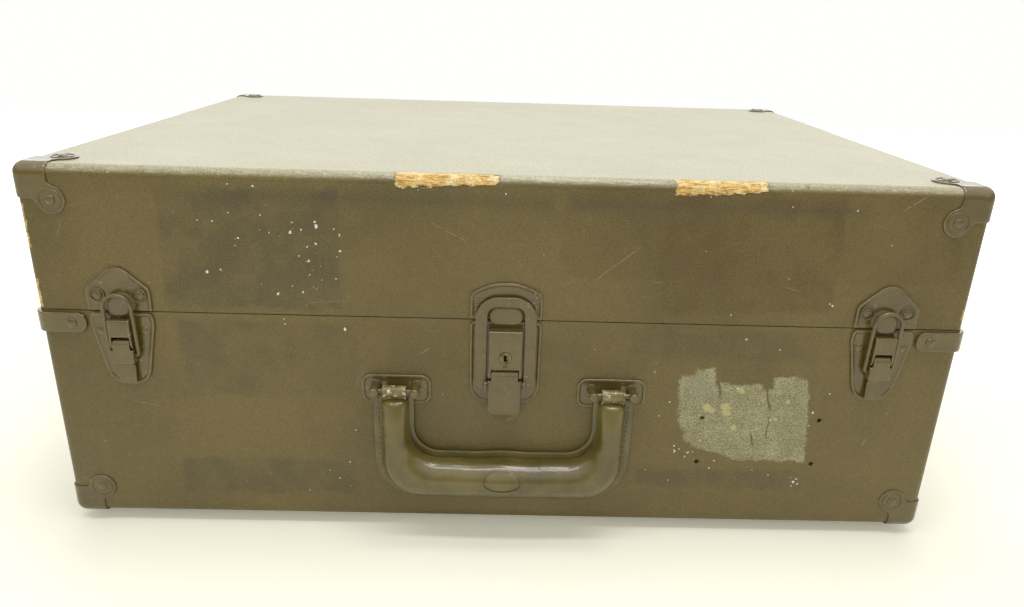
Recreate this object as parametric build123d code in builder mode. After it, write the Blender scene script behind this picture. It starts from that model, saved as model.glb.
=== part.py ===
from build123d import *
import os

os.makedirs("parts", exist_ok=True)

# Case body
case_width = 560
case_depth = 406
case_height = 230
base_height = 143
wall = 8
panel = 6.5
edge_radius = 6
parting_gap = 0.5
seat_gap = 0.1
running_gap = 0.3
pin_gap = 0.05

# Lip inside the rim of the base
lip_thickness = 3
lip_below = 16
lip_above = 9
lip_clearance = 1.2

# Feet
foot_height = 7
foot_radius = 9
foot_pad_radius = 6
foot_inset = 42

# Rivets
rivet_radius = 3.2
rivet_dome = 1.3
small_rivet_radius = 2.2
small_rivet_dome = 0.9

# Corner caps
cap_thickness = 1.0
cap_reach = 18.6
cap_lobe_inset = 20
cap_lobe_radius = 8.5
cap_fillet = 4

# Corner straps of the base
strap_top = 1.2
strap_width = 12.6
strap_thickness = 2.2
strap_reach = 29
strap_end_radius = 5.5
strap_rivet_inset = 20.5

# Stamped plates
plate_thickness = 1.0
plate_rim_width = 1.8
plate_rim_height = 0.8
plate_gap = 0.8

# Draw latches
latch_inset = 50
keeper_width = 38
keeper_shoulder = 14.5
keeper_apex = 31
keeper_top_radius = 10
keeper_corner = 4
keeper_rivet_x = 12.2
keeper_rivet_z = 10.5
tab_width = 12.6
tab_height = 10
tab_proud = 3.6
tab_skirt = 2.1
tab_corner = 5
tab_round = 0.6
shield_width = 37
shield_waist = 38.4
shield_waist_z = 8
shield_length = 47.5
shield_foot_width = 23
shield_foot_radius = 11
shield_corner = 3
shield_rivet_x = 12.9
shield_rivet_z = 12.3
bridge_top = 3.6
bridge_bottom = 14.6
bridge_width = 13
bridge_proud = 7.4
ear_thickness = 1.1
ear_bottom = 22
lever_pin_radius = 1.2
lever_pivot_proud = 4.9
lever_pivot_drop = 18.6
lever_width = 13.2
lever_sheet = 1.1
lever_flare_top = 23
lever_web_bottom = 31.5
lever_web_proud = 7.6
lever_length = 46
lever_tip_proud = 4.4
lever_tip_width = 10.4
lever_flange_back = 2.2
bail_pivot_proud = 3.9
bail_pivot_drop = 26.8
bail_wire_radius = 1.25
bail_half_width = 8.35
bail_arch_top = 11.8

# Centre lock
lock_plate_width = 43.6
lock_keeper_shoulder = 16.5
lock_keeper_top = 24
lock_keeper_corner = 4
lock_keeper_rivet_x = 17.2
lock_keeper_rivet_z = 9.8
lock_tab_width = 20
lock_tab_height = 8.5
lock_tab_proud = 3.0
lock_tab_skirt = 2.6
lock_plate_length = 55.4
lock_plate_corner = 3
lock_plate_foot_radius = 12
lock_case_width = 20.4
lock_case_top = 4.6
lock_case_bottom = 29.6
lock_case_proud = 8.6
lock_case_round = 1.2
lock_ear_thickness = 1.6
lock_ear_bottom = 36.6
lock_pivot_proud = 5.6
lock_pivot_drop = 33.4
lock_pin_radius = 1.3
plug_radius = 3.7
plug_drop = 21.5
plug_depth = 7
plug_proud = 0.4
keyway_width = 1.4
keyway_length = 4.6
tongue_shoulder_gap = 0.6
tongue_length = 65.2
tongue_top_proud = 8.8
tongue_tip_proud = 8.2
tongue_sheet = 1.4
tongue_back = 2.4
link_outer_width = 36.8
link_band = 7.2
link_arch_band = 6.2
link_arch_top = 15.8
link_outer_radius = 14
link_inner_radius = 5.5
link_back = 3.3
link_sheet = 1.3
link_pivot_proud = 4.7
link_pivot_drop = 41
link_bottom = 45
link_pin_radius = 1.2
link_ear_height = 7.2

# Handle
bracket_spacing = 134
bracket_width = 43
bracket_height = 19.5
bracket_top = 37.6
bracket_corner = 6
post_spacing = 25
post_radius = 3
post_length = 13
handle_pin_radius = 1.5
handle_pin_drop = 44.8
handle_pin_proud = 9.5
loop_width = 14
loop_radius = 3.6
loop_tail = 12
loop_sheet = 1.5
grip_back = 1.2
grip_leg_width = 17
grip_leg_depth = 13
grip_bend_width = 21
grip_bend_depth = 18
grip_middle_width = 27
grip_middle_depth = 22
grip_leg_top = 6.5
grip_drop = 57.5
grip_bend_radius = 26
grip_flange = 4
grip_flange_sheet = 2.4

# Lost plate's holes in the front of the base
plate_hole_x = 164
plate_hole_drop = 80
plate_hole_spacing_x = 75
plate_hole_spacing_z = 32
plate_hole_radius = 1.4

# Rear hinges
hinge_inset = 110
hinge_width = 50
hinge_leaf_height = 22
hinge_leaf_sheet = 1.2
hinge_knuckle_radius = 3
hinge_knuckles = 5
hinge_knuckle_gap = 0.4
hinge_pin_radius = 1.4
hinge_pin_head = 1
hinge_pin_head_radius = 2.4
hinge_rivet_spacing = 17

# Lid stays
stay_reach = 80
stay_offset = 26
stay_bar_width = 10
stay_bar_sheet = 2
stay_stud_radius = 2.5
stay_boss_radius = 7
stay_wall_gap = 2.2
stay_head_sheet = 1
stay_head_radius = 4

# Inside
divider_thickness = 6
divider_drop = 22
divider_x = 70
divider_cross_y = 10
divider_round = 1.5
felt_thickness = 2.5
felt_margin = 2
lid_pad_thickness = 6
lid_pad_margin = 24

# Levels and faces worked out from the sizes above
parting_z = foot_height + base_height
top_z = foot_height + case_height
floor_z = foot_height + panel
base_rim_z = parting_z - parting_gap / 2
lid_rim_z = parting_z + parting_gap / 2
hinge_axis_out = hinge_knuckle_radius + running_gap
front_reach = grip_back + grip_middle_depth
back_reach = hinge_axis_out + hinge_knuckle_radius
front_y = front_reach - (case_depth + front_reach + back_reach) / 2
back_y = front_y + case_depth
middle_y = (front_y + back_y) / 2
latch_x = case_width / 2 - latch_inset
latch_places = {"left": -latch_x, "right": latch_x}


def write(piece, name):
    piece.part.label = name
    export_step(piece.part, f"parts/{name}.step")


def face_plane(x=0, proud=0):
    """Plane on the case's front: its x is X, its y is the height over the parting line."""
    return Plane(origin=(x, front_y - proud, parting_z), x_dir=(1, 0, 0), z_dir=(0, -1, 0))


def side_plane(x=0):
    """Upright plane through x: its x runs out of the case's front, its y is height over the parting."""
    return Plane(origin=(x, front_y, parting_z), x_dir=(0, -1, 0), z_dir=(-1, 0, 0))


def rear_plane(x=0, z=0):
    """Plane on the case's back: its x is -X, its y is the height over the parting line plus z."""
    return Plane(origin=(x, back_y, parting_z + z), x_dir=(-1, 0, 0), z_dir=(0, 1, 0))


def hinge_plane(x=0):
    """Upright plane through the rear hinge axis: its x runs out of the back, its y is height."""
    return Plane(origin=(x, back_y + hinge_axis_out, parting_z), x_dir=(0, 1, 0), z_dir=(1, 0, 0))


def rounded_block(proud):
    """The whole closed case, grown by proud on every side."""
    with BuildPart() as block:
        with Locations((0, middle_y, foot_height + case_height / 2)):
            Box(case_width + 2 * proud, case_depth + 2 * proud, case_height + 2 * proud)
        fillet(block.edges(), edge_radius + proud)
    return block.part


def dome(radius, height):
    """Rivet head standing on XY: a low edge under a crown that is part of a sphere."""
    edge = height / 4
    crown = height - edge
    with BuildPart() as head:
        with BuildSketch(Plane.XZ):
            with BuildLine():
                Polyline((0, height), (0, 0), (radius, 0), (radius, edge))
                RadiusArc((radius, edge), (0, height), -(radius**2 + crown**2) / (2 * crown))
            make_face()
        revolve(axis=Axis.Z)
    return head.part


case_form = rounded_block(0)
cap_seat = rounded_block(seat_gap)
cap_form = rounded_block(seat_gap + cap_thickness)
strap_form = rounded_block(seat_gap + strap_thickness)
rivet_head = dome(rivet_radius, rivet_dome)
small_rivet_head = dome(small_rivet_radius, small_rivet_dome)


def panel_block(low, high):
    """Cuts the case's form down to the box between two corners, inside the open part."""
    size = Vector(*high) - Vector(*low)
    with Locations(Vector(*low) + size / 2):
        Box(size.X, size.Y, size.Z, mode=Mode.INTERSECT)


half_width = case_width / 2
inner_x = half_width - wall
inner_front_y = front_y + wall
inner_back_y = back_y - wall

# Lid panels
with BuildPart() as lid_top:
    add(case_form)
    panel_block((-half_width, front_y, top_z - panel), (half_width, back_y, top_z))
write(lid_top, "lid_top")

with BuildPart() as lid_front:
    add(case_form)
    panel_block((-half_width, front_y, lid_rim_z), (half_width, inner_front_y, top_z - panel))
write(lid_front, "lid_front")

with BuildPart() as lid_back:
    add(case_form)
    panel_block((-half_width, inner_back_y, lid_rim_z), (half_width, back_y, top_z - panel))
write(lid_back, "lid_back")

with BuildPart() as lid_left:
    add(case_form)
    panel_block((-half_width, inner_front_y, lid_rim_z), (-inner_x, inner_back_y, top_z - panel))
write(lid_left, "lid_left")

with BuildPart() as lid_right:
    add(case_form)
    panel_block((inner_x, inner_front_y, lid_rim_z), (half_width, inner_back_y, top_z - panel))
write(lid_right, "lid_right")

# Base panels
with BuildPart() as base_bottom:
    add(case_form)
    panel_block((-half_width, front_y, foot_height), (half_width, back_y, floor_z))
write(base_bottom, "base_bottom")

with BuildPart() as base_front:
    add(case_form)
    panel_block((-half_width, front_y, floor_z), (half_width, inner_front_y, base_rim_z))
    with Locations(face_plane(plate_hole_x)):
        with Locations((0, -plate_hole_drop)):
            with GridLocations(plate_hole_spacing_x, plate_hole_spacing_z, 2, 2):
                Hole(plate_hole_radius)
write(base_front, "base_front")

with BuildPart() as base_back:
    add(case_form)
    panel_block((-half_width, inner_back_y, floor_z), (half_width, back_y, base_rim_z))
write(base_back, "base_back")

with BuildPart() as base_left:
    add(case_form)
    panel_block((-half_width, inner_front_y, floor_z), (-inner_x, inner_back_y, base_rim_z))
write(base_left, "base_left")

with BuildPart() as base_right:
    add(case_form)
    panel_block((inner_x, inner_front_y, floor_z), (half_width, inner_back_y, base_rim_z))
write(base_right, "base_right")

# Lip inside the rim of the base, set back above the parting line
inner_width = case_width - 2 * wall
inner_depth = case_depth - 2 * wall
with BuildPart() as rim_lip:
    with BuildSketch(Plane((0, middle_y, base_rim_z - lip_below))):
        Rectangle(inner_width, inner_depth)
        Rectangle(inner_width - 2 * lip_thickness, inner_depth - 2 * lip_thickness, mode=Mode.SUBTRACT)
    extrude(amount=lip_below)
    with BuildSketch(Plane((0, middle_y, base_rim_z))):
        Rectangle(inner_width - 2 * lip_clearance, inner_depth - 2 * lip_clearance)
        Rectangle(inner_width - 2 * lip_thickness, inner_depth - 2 * lip_thickness, mode=Mode.SUBTRACT)
    extrude(amount=lip_above)
write(rim_lip, "rim_lip")

# Feet, one domed glide near each corner of the underside
with BuildPart() as foot:
    with BuildSketch(Plane.XZ):
        with BuildLine():
            Line((0, 0), (foot_pad_radius, 0))
            RadiusArc((foot_pad_radius, 0), (foot_radius, foot_height - 1), -foot_height)
            Line((foot_radius, foot_height - 1), (foot_radius, foot_height))
            Line((foot_radius, foot_height), (0, foot_height))
            Line((0, foot_height), (0, 0))
        make_face()
    revolve(axis=Axis.Z)

with BuildPart() as feet:
    with Locations((0, middle_y, 0)):
        with GridLocations(case_width - 2 * foot_inset, case_depth - 2 * foot_inset, 2, 2):
            add(foot.part)
write(feet, "feet")


def cap_outline():
    """Square of a cap's face from the corner at the origin, with its lobe on the diagonal."""
    with BuildSketch() as outline:
        Rectangle(cap_reach + cap_thickness, cap_reach + cap_thickness, align=(Align.MIN, Align.MIN))
        with Locations((cap_lobe_inset, cap_lobe_inset)):
            Circle(cap_lobe_radius)
        crotches = [v for v in outline.vertices() if 0 < v.X and 0 < v.Y]
        fillet(crotches, cap_fillet)
    return outline.sketch


cap_face = cap_outline()
cap_grow = seat_gap + cap_thickness
depth_mirror = Plane(origin=(0, middle_y, 0), x_dir=(1, 0, 0), z_dir=(0, 1, 0))
height_mirror = Plane((0, 0, foot_height + case_height / 2))
corner = (-half_width, front_y, top_z)


def corner_planes(proud):
    """The three faces at the lid's front left corner, proud of the case, normals into the case."""
    x, y, z = corner
    return [
        Plane(origin=(x, y - proud, z), x_dir=(1, 0, 0), z_dir=(0, 1, 0)),
        Plane(origin=(x - proud, y, z), x_dir=(0, 0, -1), z_dir=(1, 0, 0)),
        Plane(origin=(x, y, z + proud), x_dir=(0, 1, 0), z_dir=(0, 0, -1)),
    ]


# Corner caps: one stamped cap, then its mirror images at the other corners
with BuildPart() as cap:
    for plane in corner_planes(cap_grow):
        with BuildSketch(plane):
            add(cap_face)
        extrude(amount=cap_grow + edge_radius)
    add(cap_form, mode=Mode.INTERSECT)
    add(cap_seat, mode=Mode.SUBTRACT)

with BuildPart() as cap_rivets:
    for plane in corner_planes(cap_grow):
        outward = Plane(origin=plane.origin, x_dir=plane.y_dir, z_dir=-plane.z_dir)
        with Locations(outward):
            with Locations((cap_lobe_inset, cap_lobe_inset)):
                add(rivet_head)

with BuildPart() as lid_corner_caps:
    add(cap.part)
    mirror(about=Plane.YZ)
    mirror(about=depth_mirror)
write(lid_corner_caps, "lid_corner_caps")

with BuildPart() as base_corner_caps:
    mirror(lid_corner_caps.part, about=height_mirror)
write(base_corner_caps, "base_corner_caps")

with BuildPart() as lid_cap_rivets:
    add(cap_rivets.part)
    mirror(about=Plane.YZ)
    mirror(about=depth_mirror)
write(lid_cap_rivets, "lid_cap_rivets")

with BuildPart() as base_cap_rivets:
    mirror(lid_cap_rivets.part, about=height_mirror)
write(base_cap_rivets, "base_cap_rivets")

# Straps round the base's upright corners, just under the parting line
strap_grow = seat_gap + strap_thickness
strap_middle = strap_top + strap_width / 2
with BuildSketch() as strap_outline:
    Rectangle(strap_reach + strap_grow, strap_width, align=(Align.MIN, Align.CENTER))
    fillet(strap_outline.vertices().group_by(Axis.X)[-1], strap_end_radius)

with BuildPart() as strap:
    x, y = corner[:2]
    z = parting_z - strap_middle
    front_side = Plane(origin=(x - strap_grow, y - strap_grow, z), x_dir=(1, 0, 0), z_dir=(0, 1, 0))
    left_side = Plane(origin=(x - strap_grow, y - strap_grow, z), x_dir=(0, 1, 0), z_dir=(1, 0, 0))
    for plane in (front_side, left_side):
        with BuildSketch(plane):
            add(strap_outline.sketch)
        extrude(amount=strap_grow + edge_radius)
    add(strap_form, mode=Mode.INTERSECT)
    add(cap_seat, mode=Mode.SUBTRACT)


with BuildPart() as corner_straps:
    add(strap.part)
    mirror(about=Plane.YZ)
    mirror(about=depth_mirror)
write(corner_straps, "corner_straps")

with BuildPart() as strap_rivets:
    inset = strap_rivet_inset
    front_rivet = Plane(origin=(x + inset, y - strap_grow, z), x_dir=(1, 0, 0), z_dir=(0, -1, 0))
    side_rivet = Plane(origin=(x - strap_grow, y + inset, z), x_dir=(0, 1, 0), z_dir=(-1, 0, 0))
    with Locations(front_rivet, side_rivet):
        add(rivet_head)
    mirror(about=Plane.YZ)
    mirror(about=depth_mirror)
write(strap_rivets, "strap_rivets")


def stamped_plate(outline, plane):
    """Sheet plate with a raised rim, standing on plane, inside the open part."""
    with BuildSketch(plane) as sheet:
        add(outline)
    extrude(sheet.sketch, amount=plate_thickness + plate_rim_height)
    with BuildSketch(plane.offset(plate_thickness)) as middle:
        add(outline)
        offset(amount=-plate_rim_width, kind=Kind.INTERSECTION)
    extrude(middle.sketch, amount=plate_rim_height, mode=Mode.SUBTRACT)


def hook_tab(x, width, height, proud, skirt, radius):
    """Hook tab on a keeper: a stamped hump with a skirt that hangs over the parting line."""
    skirt_back = plate_thickness + plate_rim_height + running_gap
    with BuildPart() as tab:
        with BuildSketch(side_plane(x)):
            with BuildLine():
                Polyline(
                    (0, plate_gap),
                    (skirt_back, plate_gap),
                    (skirt_back, -skirt),
                    (proud, -skirt),
                    (proud, height),
                    (0, height),
                    close=True,
                )
            make_face()
        extrude(amount=width / 2, both=True)
        with BuildSketch(face_plane(x)) as front:
            with Locations((0, -skirt)):
                Rectangle(width, height + skirt, align=(Align.CENTER, Align.MIN))
            fillet(front.vertices().group_by(Axis.Z)[-1], radius)
        extrude(amount=proud, mode=Mode.INTERSECT)
        fillet(tab.faces().sort_by(Axis.Y)[0].edges(), tab_round)
    return tab.part


# Draw latch keepers on the lid
with BuildSketch() as keeper_outline:
    with BuildLine():
        Polyline(
            (-keeper_width / 2, plate_gap),
            (-keeper_width / 2, keeper_shoulder),
            (0, keeper_apex),
            (keeper_width / 2, keeper_shoulder),
            (keeper_width / 2, plate_gap),
            close=True,
        )
    make_face()
    levels = keeper_outline.vertices().group_by(Axis.Y)
    fillet(levels[-1], keeper_top_radius)
    fillet(keeper_outline.vertices().group_by(Axis.Y)[1], keeper_corner)

with BuildSketch() as shield_outline:
    with BuildLine():
        Polyline(
            (-shield_width / 2, -plate_gap),
            (-shield_waist / 2, -shield_waist_z),
            (-shield_foot_width / 2, -shield_length),
            (shield_foot_width / 2, -shield_length),
            (shield_waist / 2, -shield_waist_z),
            (shield_width / 2, -plate_gap),
            close=True,
        )
    make_face()
    fillet(shield_outline.vertices().group_by(Axis.Y)[0], shield_foot_radius)
    fillet(shield_outline.vertices().group_by(Axis.Y)[-1], shield_corner)


def pierced(x, out, height, radius, length):
    """Round hole along X, centred at a point in front of the case, inside the open part."""
    with Locations(side_plane(x)):
        with Locations((out, height)):
            Cylinder(radius, length, mode=Mode.SUBTRACT)


def strip(x, points, radii, sheet, width):
    """Bent sheet strip of one width, its middle line drawn in the upright plane through x."""
    with BuildSketch(side_plane(x)) as section:
        with BuildLine():
            FilletPolyline(*points, radius=radii)
        trace(line_width=sheet)
    extrude(section.sketch, amount=width / 2, both=True)


def latch_keeper(x):
    with BuildPart() as keeper:
        stamped_plate(keeper_outline.sketch, face_plane(x))
        add(hook_tab(x, tab_width, tab_height, tab_proud, tab_skirt, tab_corner))
    return keeper


def bridge(x, width, sheet, top, bottom, proud, ear, pivot):
    """Box stamped up from a base plate, open below, whose side walls run on as ears round a pin."""
    with BuildPart() as box:
        with BuildSketch(side_plane(x)):
            with BuildLine():
                Polyline(
                    (plate_thickness, -top),
                    (proud, -top),
                    (proud, -pivot),
                    (proud - sheet, -ear),
                    (plate_thickness, -ear),
                    close=True,
                )
            make_face()
        extrude(amount=width / 2, both=True)
        fillet(box.edges().filter_by(Axis.X).group_by(Axis.Z)[-1].sort_by(Axis.Y)[0], sheet)
        with BuildSketch(side_plane(x)):
            with BuildLine():
                Polyline(
                    (plate_thickness, -top - sheet),
                    (proud - sheet, -top - sheet),
                    (proud - sheet, -bottom),
                    (proud + sheet, -bottom),
                    (proud + sheet, -ear - sheet),
                    (plate_thickness, -ear - sheet),
                    close=True,
                )
            make_face()
        extrude(amount=width / 2 - sheet, both=True, mode=Mode.SUBTRACT)
    return box.part


def latch_base(x):
    """Shield plate with the bridge and the two ears that carry the lever's pin."""
    with BuildPart() as base:
        stamped_plate(shield_outline.sketch, face_plane(x))
        add(
            bridge(
                x,
                bridge_width,
                ear_thickness,
                bridge_top,
                bridge_bottom,
                bridge_proud,
                ear_bottom,
                lever_pivot_drop,
            )
        )
        pierced(x, lever_pivot_proud, -lever_pivot_drop, lever_pin_radius + pin_gap, bridge_width)
    return base


def latch_lever(x):
    """Rolled barrel between the ears, a channel that carries the bail, and a finger tongue."""
    inner = bridge_width / 2 - ear_thickness - running_gap
    web_out = lever_web_proud - lever_sheet / 2
    barrel_radius = lever_pin_radius + lever_sheet
    with BuildPart() as lever:
        with Locations(side_plane(x)):
            with Locations((lever_pivot_proud, -lever_pivot_drop)):
                Cylinder(barrel_radius, 2 * inner)
        web_top = [(lever_pivot_proud, -lever_pivot_drop + barrel_radius - lever_sheet / 2)]
        web_top.append((web_out, -lever_pivot_drop))
        web_top.append((web_out, -lever_flare_top - lever_sheet))
        strip(x, web_top, lever_sheet, lever_sheet, 2 * inner)
        bend = (web_out, -lever_flare_top)
        heel = (web_out, -lever_web_bottom)
        step = (lever_tip_proud - lever_sheet, -lever_web_bottom - 2 * lever_sheet)
        tip = (lever_tip_proud, -lever_length)
        strip(x, [bend, heel, step, tip], lever_sheet, lever_sheet, lever_tip_width)
        with BuildSketch(side_plane(x)):
            with Locations(((lever_web_proud + lever_flange_back) / 2, -(lever_flare_top + lever_web_bottom) / 2)):
                RectangleRounded(
                    lever_web_proud - lever_flange_back,
                    lever_web_bottom - lever_flare_top,
                    lever_sheet,
                )
        extrude(amount=lever_width / 2, both=True)
        flange_inner = lever_width / 2 - lever_sheet
        with BuildSketch(side_plane(x)) as hollow:
            with Locations((0, -lever_web_bottom)):
                Rectangle(
                    lever_web_proud - lever_sheet,
                    lever_web_bottom - lever_flare_top,
                    align=(Align.MIN, Align.MIN),
                )
        extrude(hollow.sketch, amount=flange_inner, both=True, mode=Mode.SUBTRACT)
        pierced(x, lever_pivot_proud, -lever_pivot_drop, lever_pin_radius + pin_gap, bridge_width)
        pierced(x, bail_pivot_proud, -bail_pivot_drop, bail_wire_radius + pin_gap, 2 * lever_width)
    return lever


def latch_bail(x):
    """Wire bail: an arch over the tab, two legs, and ends turned in through the lever's flanges."""
    arch_z = bail_arch_top - bail_half_width
    arch_out = tab_proud + running_gap + bail_wire_radius
    slope = Plane(
        origin=(x, front_y - bail_pivot_proud, parting_z - bail_pivot_drop),
        x_dir=(1, 0, 0),
        z_dir=Vector(0, -(arch_z + bail_pivot_drop), -(arch_out - bail_pivot_proud)),
    )
    leg = (Vector(0, arch_out, arch_z) - Vector(0, bail_pivot_proud, -bail_pivot_drop)).length
    end = lever_width / 2 - lever_sheet
    turn = bail_wire_radius * 1.2
    with BuildPart() as bail:
        with BuildLine(slope) as wire:
            left_end = Line((-end, 0), (-bail_half_width + turn, 0))
            left_turn = TangentArc(left_end @ 1, (-bail_half_width, turn), tangent=left_end % 1)
            left_leg = Line(left_turn @ 1, (-bail_half_width, leg))
            arch = ThreePointArc(left_leg @ 1, (0, leg + bail_half_width), (bail_half_width, leg))
            right_leg = Line(arch @ 1, (bail_half_width, turn))
            right_turn = TangentArc(right_leg @ 1, (bail_half_width - turn, 0), tangent=right_leg % 1)
            Line(right_turn @ 1, (end, 0))
        with BuildSketch(Plane(origin=left_end @ 0, z_dir=left_end % 0)):
            Circle(bail_wire_radius)
        sweep(path=wire.wires()[0])
    return bail


for side, x in latch_places.items():
    write(latch_keeper(x), f"latch_keeper_{side}")
    write(latch_base(x), f"latch_base_{side}")
    write(latch_lever(x), f"latch_lever_{side}")
    write(latch_bail(x), f"latch_bail_{side}")

with BuildPart() as latch_pins:
    for x in latch_places.values():
        with Locations(side_plane(x)):
            with Locations((lever_pivot_proud, -lever_pivot_drop)):
                Cylinder(lever_pin_radius, bridge_width)
write(latch_pins, "latch_pins")

# Centre lock: plate outlines
with BuildSketch() as lock_keeper_outline:
    with BuildLine():
        Polyline(
            (-lock_plate_width / 2, lock_keeper_shoulder),
            (-lock_plate_width / 2, plate_gap),
            (lock_plate_width / 2, plate_gap),
            (lock_plate_width / 2, lock_keeper_shoulder),
        )
        ThreePointArc(
            (lock_plate_width / 2, lock_keeper_shoulder),
            (0, lock_keeper_top),
            (-lock_plate_width / 2, lock_keeper_shoulder),
        )
    make_face()
    fillet(lock_keeper_outline.vertices().group_by(Axis.Y)[-1], lock_keeper_corner)

with BuildSketch() as lock_plate_outline:
    with Locations((0, -plate_gap)):
        Rectangle(lock_plate_width, lock_plate_length - plate_gap, align=(Align.CENTER, Align.MAX))
    fillet(lock_plate_outline.vertices().group_by(Axis.Y)[0], lock_plate_foot_radius)
    fillet(lock_plate_outline.vertices().group_by(Axis.Y)[-1], lock_plate_corner)

with BuildPart() as lock_keeper:
    stamped_plate(lock_keeper_outline.sketch, face_plane())
    add(hook_tab(0, lock_tab_width, lock_tab_height, lock_tab_proud, lock_tab_skirt, tab_corner))
write(lock_keeper, "lock_keeper")

with BuildPart() as lock_base:
    stamped_plate(lock_plate_outline.sketch, face_plane())
write(lock_base, "lock_base")

# Lock case: a closed box with a bore for the key plug, and ears for the lever's pin
with BuildPart() as lock_case:
    with BuildSketch(face_plane(0, plate_thickness)):
        with Locations((0, -lock_case_top)):
            Rectangle(lock_case_width, lock_case_bottom - lock_case_top, align=(Align.CENTER, Align.MAX))
    extrude(amount=lock_case_proud - plate_thickness)
    fillet(lock_case.faces().sort_by(Axis.Y)[0].edges(), lock_case_round)
    with BuildSketch(side_plane()):
        with Locations((lock_pivot_proud, -lock_pivot_drop)):
            Circle(lock_ear_bottom - lock_pivot_drop)
            Rectangle(
                2 * (lock_ear_bottom - lock_pivot_drop),
                lock_pivot_drop - lock_case_bottom + lock_case_round,
                align=(Align.CENTER, Align.MIN),
            )
    extrude(amount=lock_case_width / 2, both=True)
    with BuildSketch(side_plane()):
        with Locations((0, -lock_case_bottom)):
            Rectangle(lock_plate_width, lock_ear_bottom, align=(Align.CENTER, Align.MAX))
    extrude(amount=lock_case_width / 2 - lock_ear_thickness, both=True, mode=Mode.SUBTRACT)
    pierced(0, lock_pivot_proud, -lock_pivot_drop, lock_pin_radius + pin_gap, lock_case_width)
    with BuildSketch(face_plane(0, lock_case_proud)):
        with Locations((0, -plug_drop)):
            Circle(plug_radius + pin_gap)
    extrude(amount=-plug_depth, mode=Mode.SUBTRACT)
write(lock_case, "lock_case")

with BuildPart() as lock_plug:
    with BuildSketch(face_plane(0, lock_case_proud - plug_depth + running_gap)):
        with Locations((0, -plug_drop)):
            Circle(plug_radius)
    extrude(amount=plug_depth - running_gap + plug_proud)
    with BuildSketch(face_plane(0, lock_case_proud + plug_proud)):
        with Locations((0, -plug_drop)):
            SlotOverall(keyway_length, keyway_width, rotation=90)
    extrude(amount=-plug_depth / 2, mode=Mode.SUBTRACT)
write(lock_plug, "lock_plug")

with BuildPart() as lock_pin:
    with Locations(side_plane()):
        with Locations((lock_pivot_proud, -lock_pivot_drop)):
            Cylinder(lock_pin_radius, lock_case_width)
write(lock_pin, "lock_pin")

# Lock lever: barrel and neck between the ears, then a wide tongue with a rounded end
neck_width = lock_case_width - 2 * lock_ear_thickness - 2 * running_gap
neck_radius = lock_pin_radius + tongue_sheet
tongue_neck_bottom = lock_ear_bottom + tongue_shoulder_gap
tongue_web = tongue_top_proud - tongue_sheet / 2
with BuildSketch() as tongue_outline:
    with Locations((0, -tongue_neck_bottom)):
        Rectangle(neck_width, tongue_neck_bottom, align=(Align.CENTER, Align.MIN))
        Rectangle(lock_tab_width, tongue_length - tongue_neck_bottom, align=(Align.CENTER, Align.MAX))
    fillet(tongue_outline.vertices().group_by(Axis.Y)[0], lock_tab_width / 2 - tongue_sheet)

with BuildPart() as lock_lever:
    with Locations(side_plane()):
        with Locations((lock_pivot_proud, -lock_pivot_drop)):
            Cylinder(neck_radius, neck_width)
    tongue_points = [
        (lock_pivot_proud, -lock_pivot_drop + neck_radius - tongue_sheet / 2),
        (tongue_web, -lock_pivot_drop),
        (tongue_web, -tongue_neck_bottom - tongue_sheet),
        (tongue_tip_proud - 2 * tongue_sheet, -tongue_length + 3 * tongue_sheet),
        (tongue_tip_proud - tongue_sheet, -tongue_length),
    ]
    strip(0, tongue_points, tongue_sheet, tongue_sheet, lock_tab_width)
    with BuildSketch(side_plane()):
        with BuildLine():
            Polyline(
                (tongue_web, -tongue_neck_bottom),
                (tongue_back, -tongue_neck_bottom),
                (tongue_back, -link_bottom),
                (tongue_tip_proud - 2 * tongue_sheet, -tongue_length + lock_tab_width / 2),
                close=True,
            )
        make_face()
    extrude(amount=lock_tab_width / 2, both=True)
    with BuildSketch(side_plane()):
        with BuildLine():
            Polyline(
                (tongue_web - tongue_sheet / 2, -tongue_neck_bottom),
                (0, -tongue_neck_bottom),
                (0, -tongue_length),
                (tongue_tip_proud - 2.5 * tongue_sheet, -tongue_length + 3 * tongue_sheet),
                close=True,
            )
        make_face()
    extrude(amount=lock_tab_width / 2 - tongue_sheet, both=True, mode=Mode.SUBTRACT)
    with BuildSketch(face_plane()):
        add(tongue_outline.sketch)
    extrude(amount=2 * lock_case_proud, mode=Mode.INTERSECT)
    pierced(0, lock_pivot_proud, -lock_pivot_drop, lock_pin_radius + pin_gap, lock_case_width)
    pierced(0, link_pivot_proud, -link_pivot_drop, link_pin_radius + pin_gap, lock_case_width)
write(lock_lever, "lock_lever")

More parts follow.
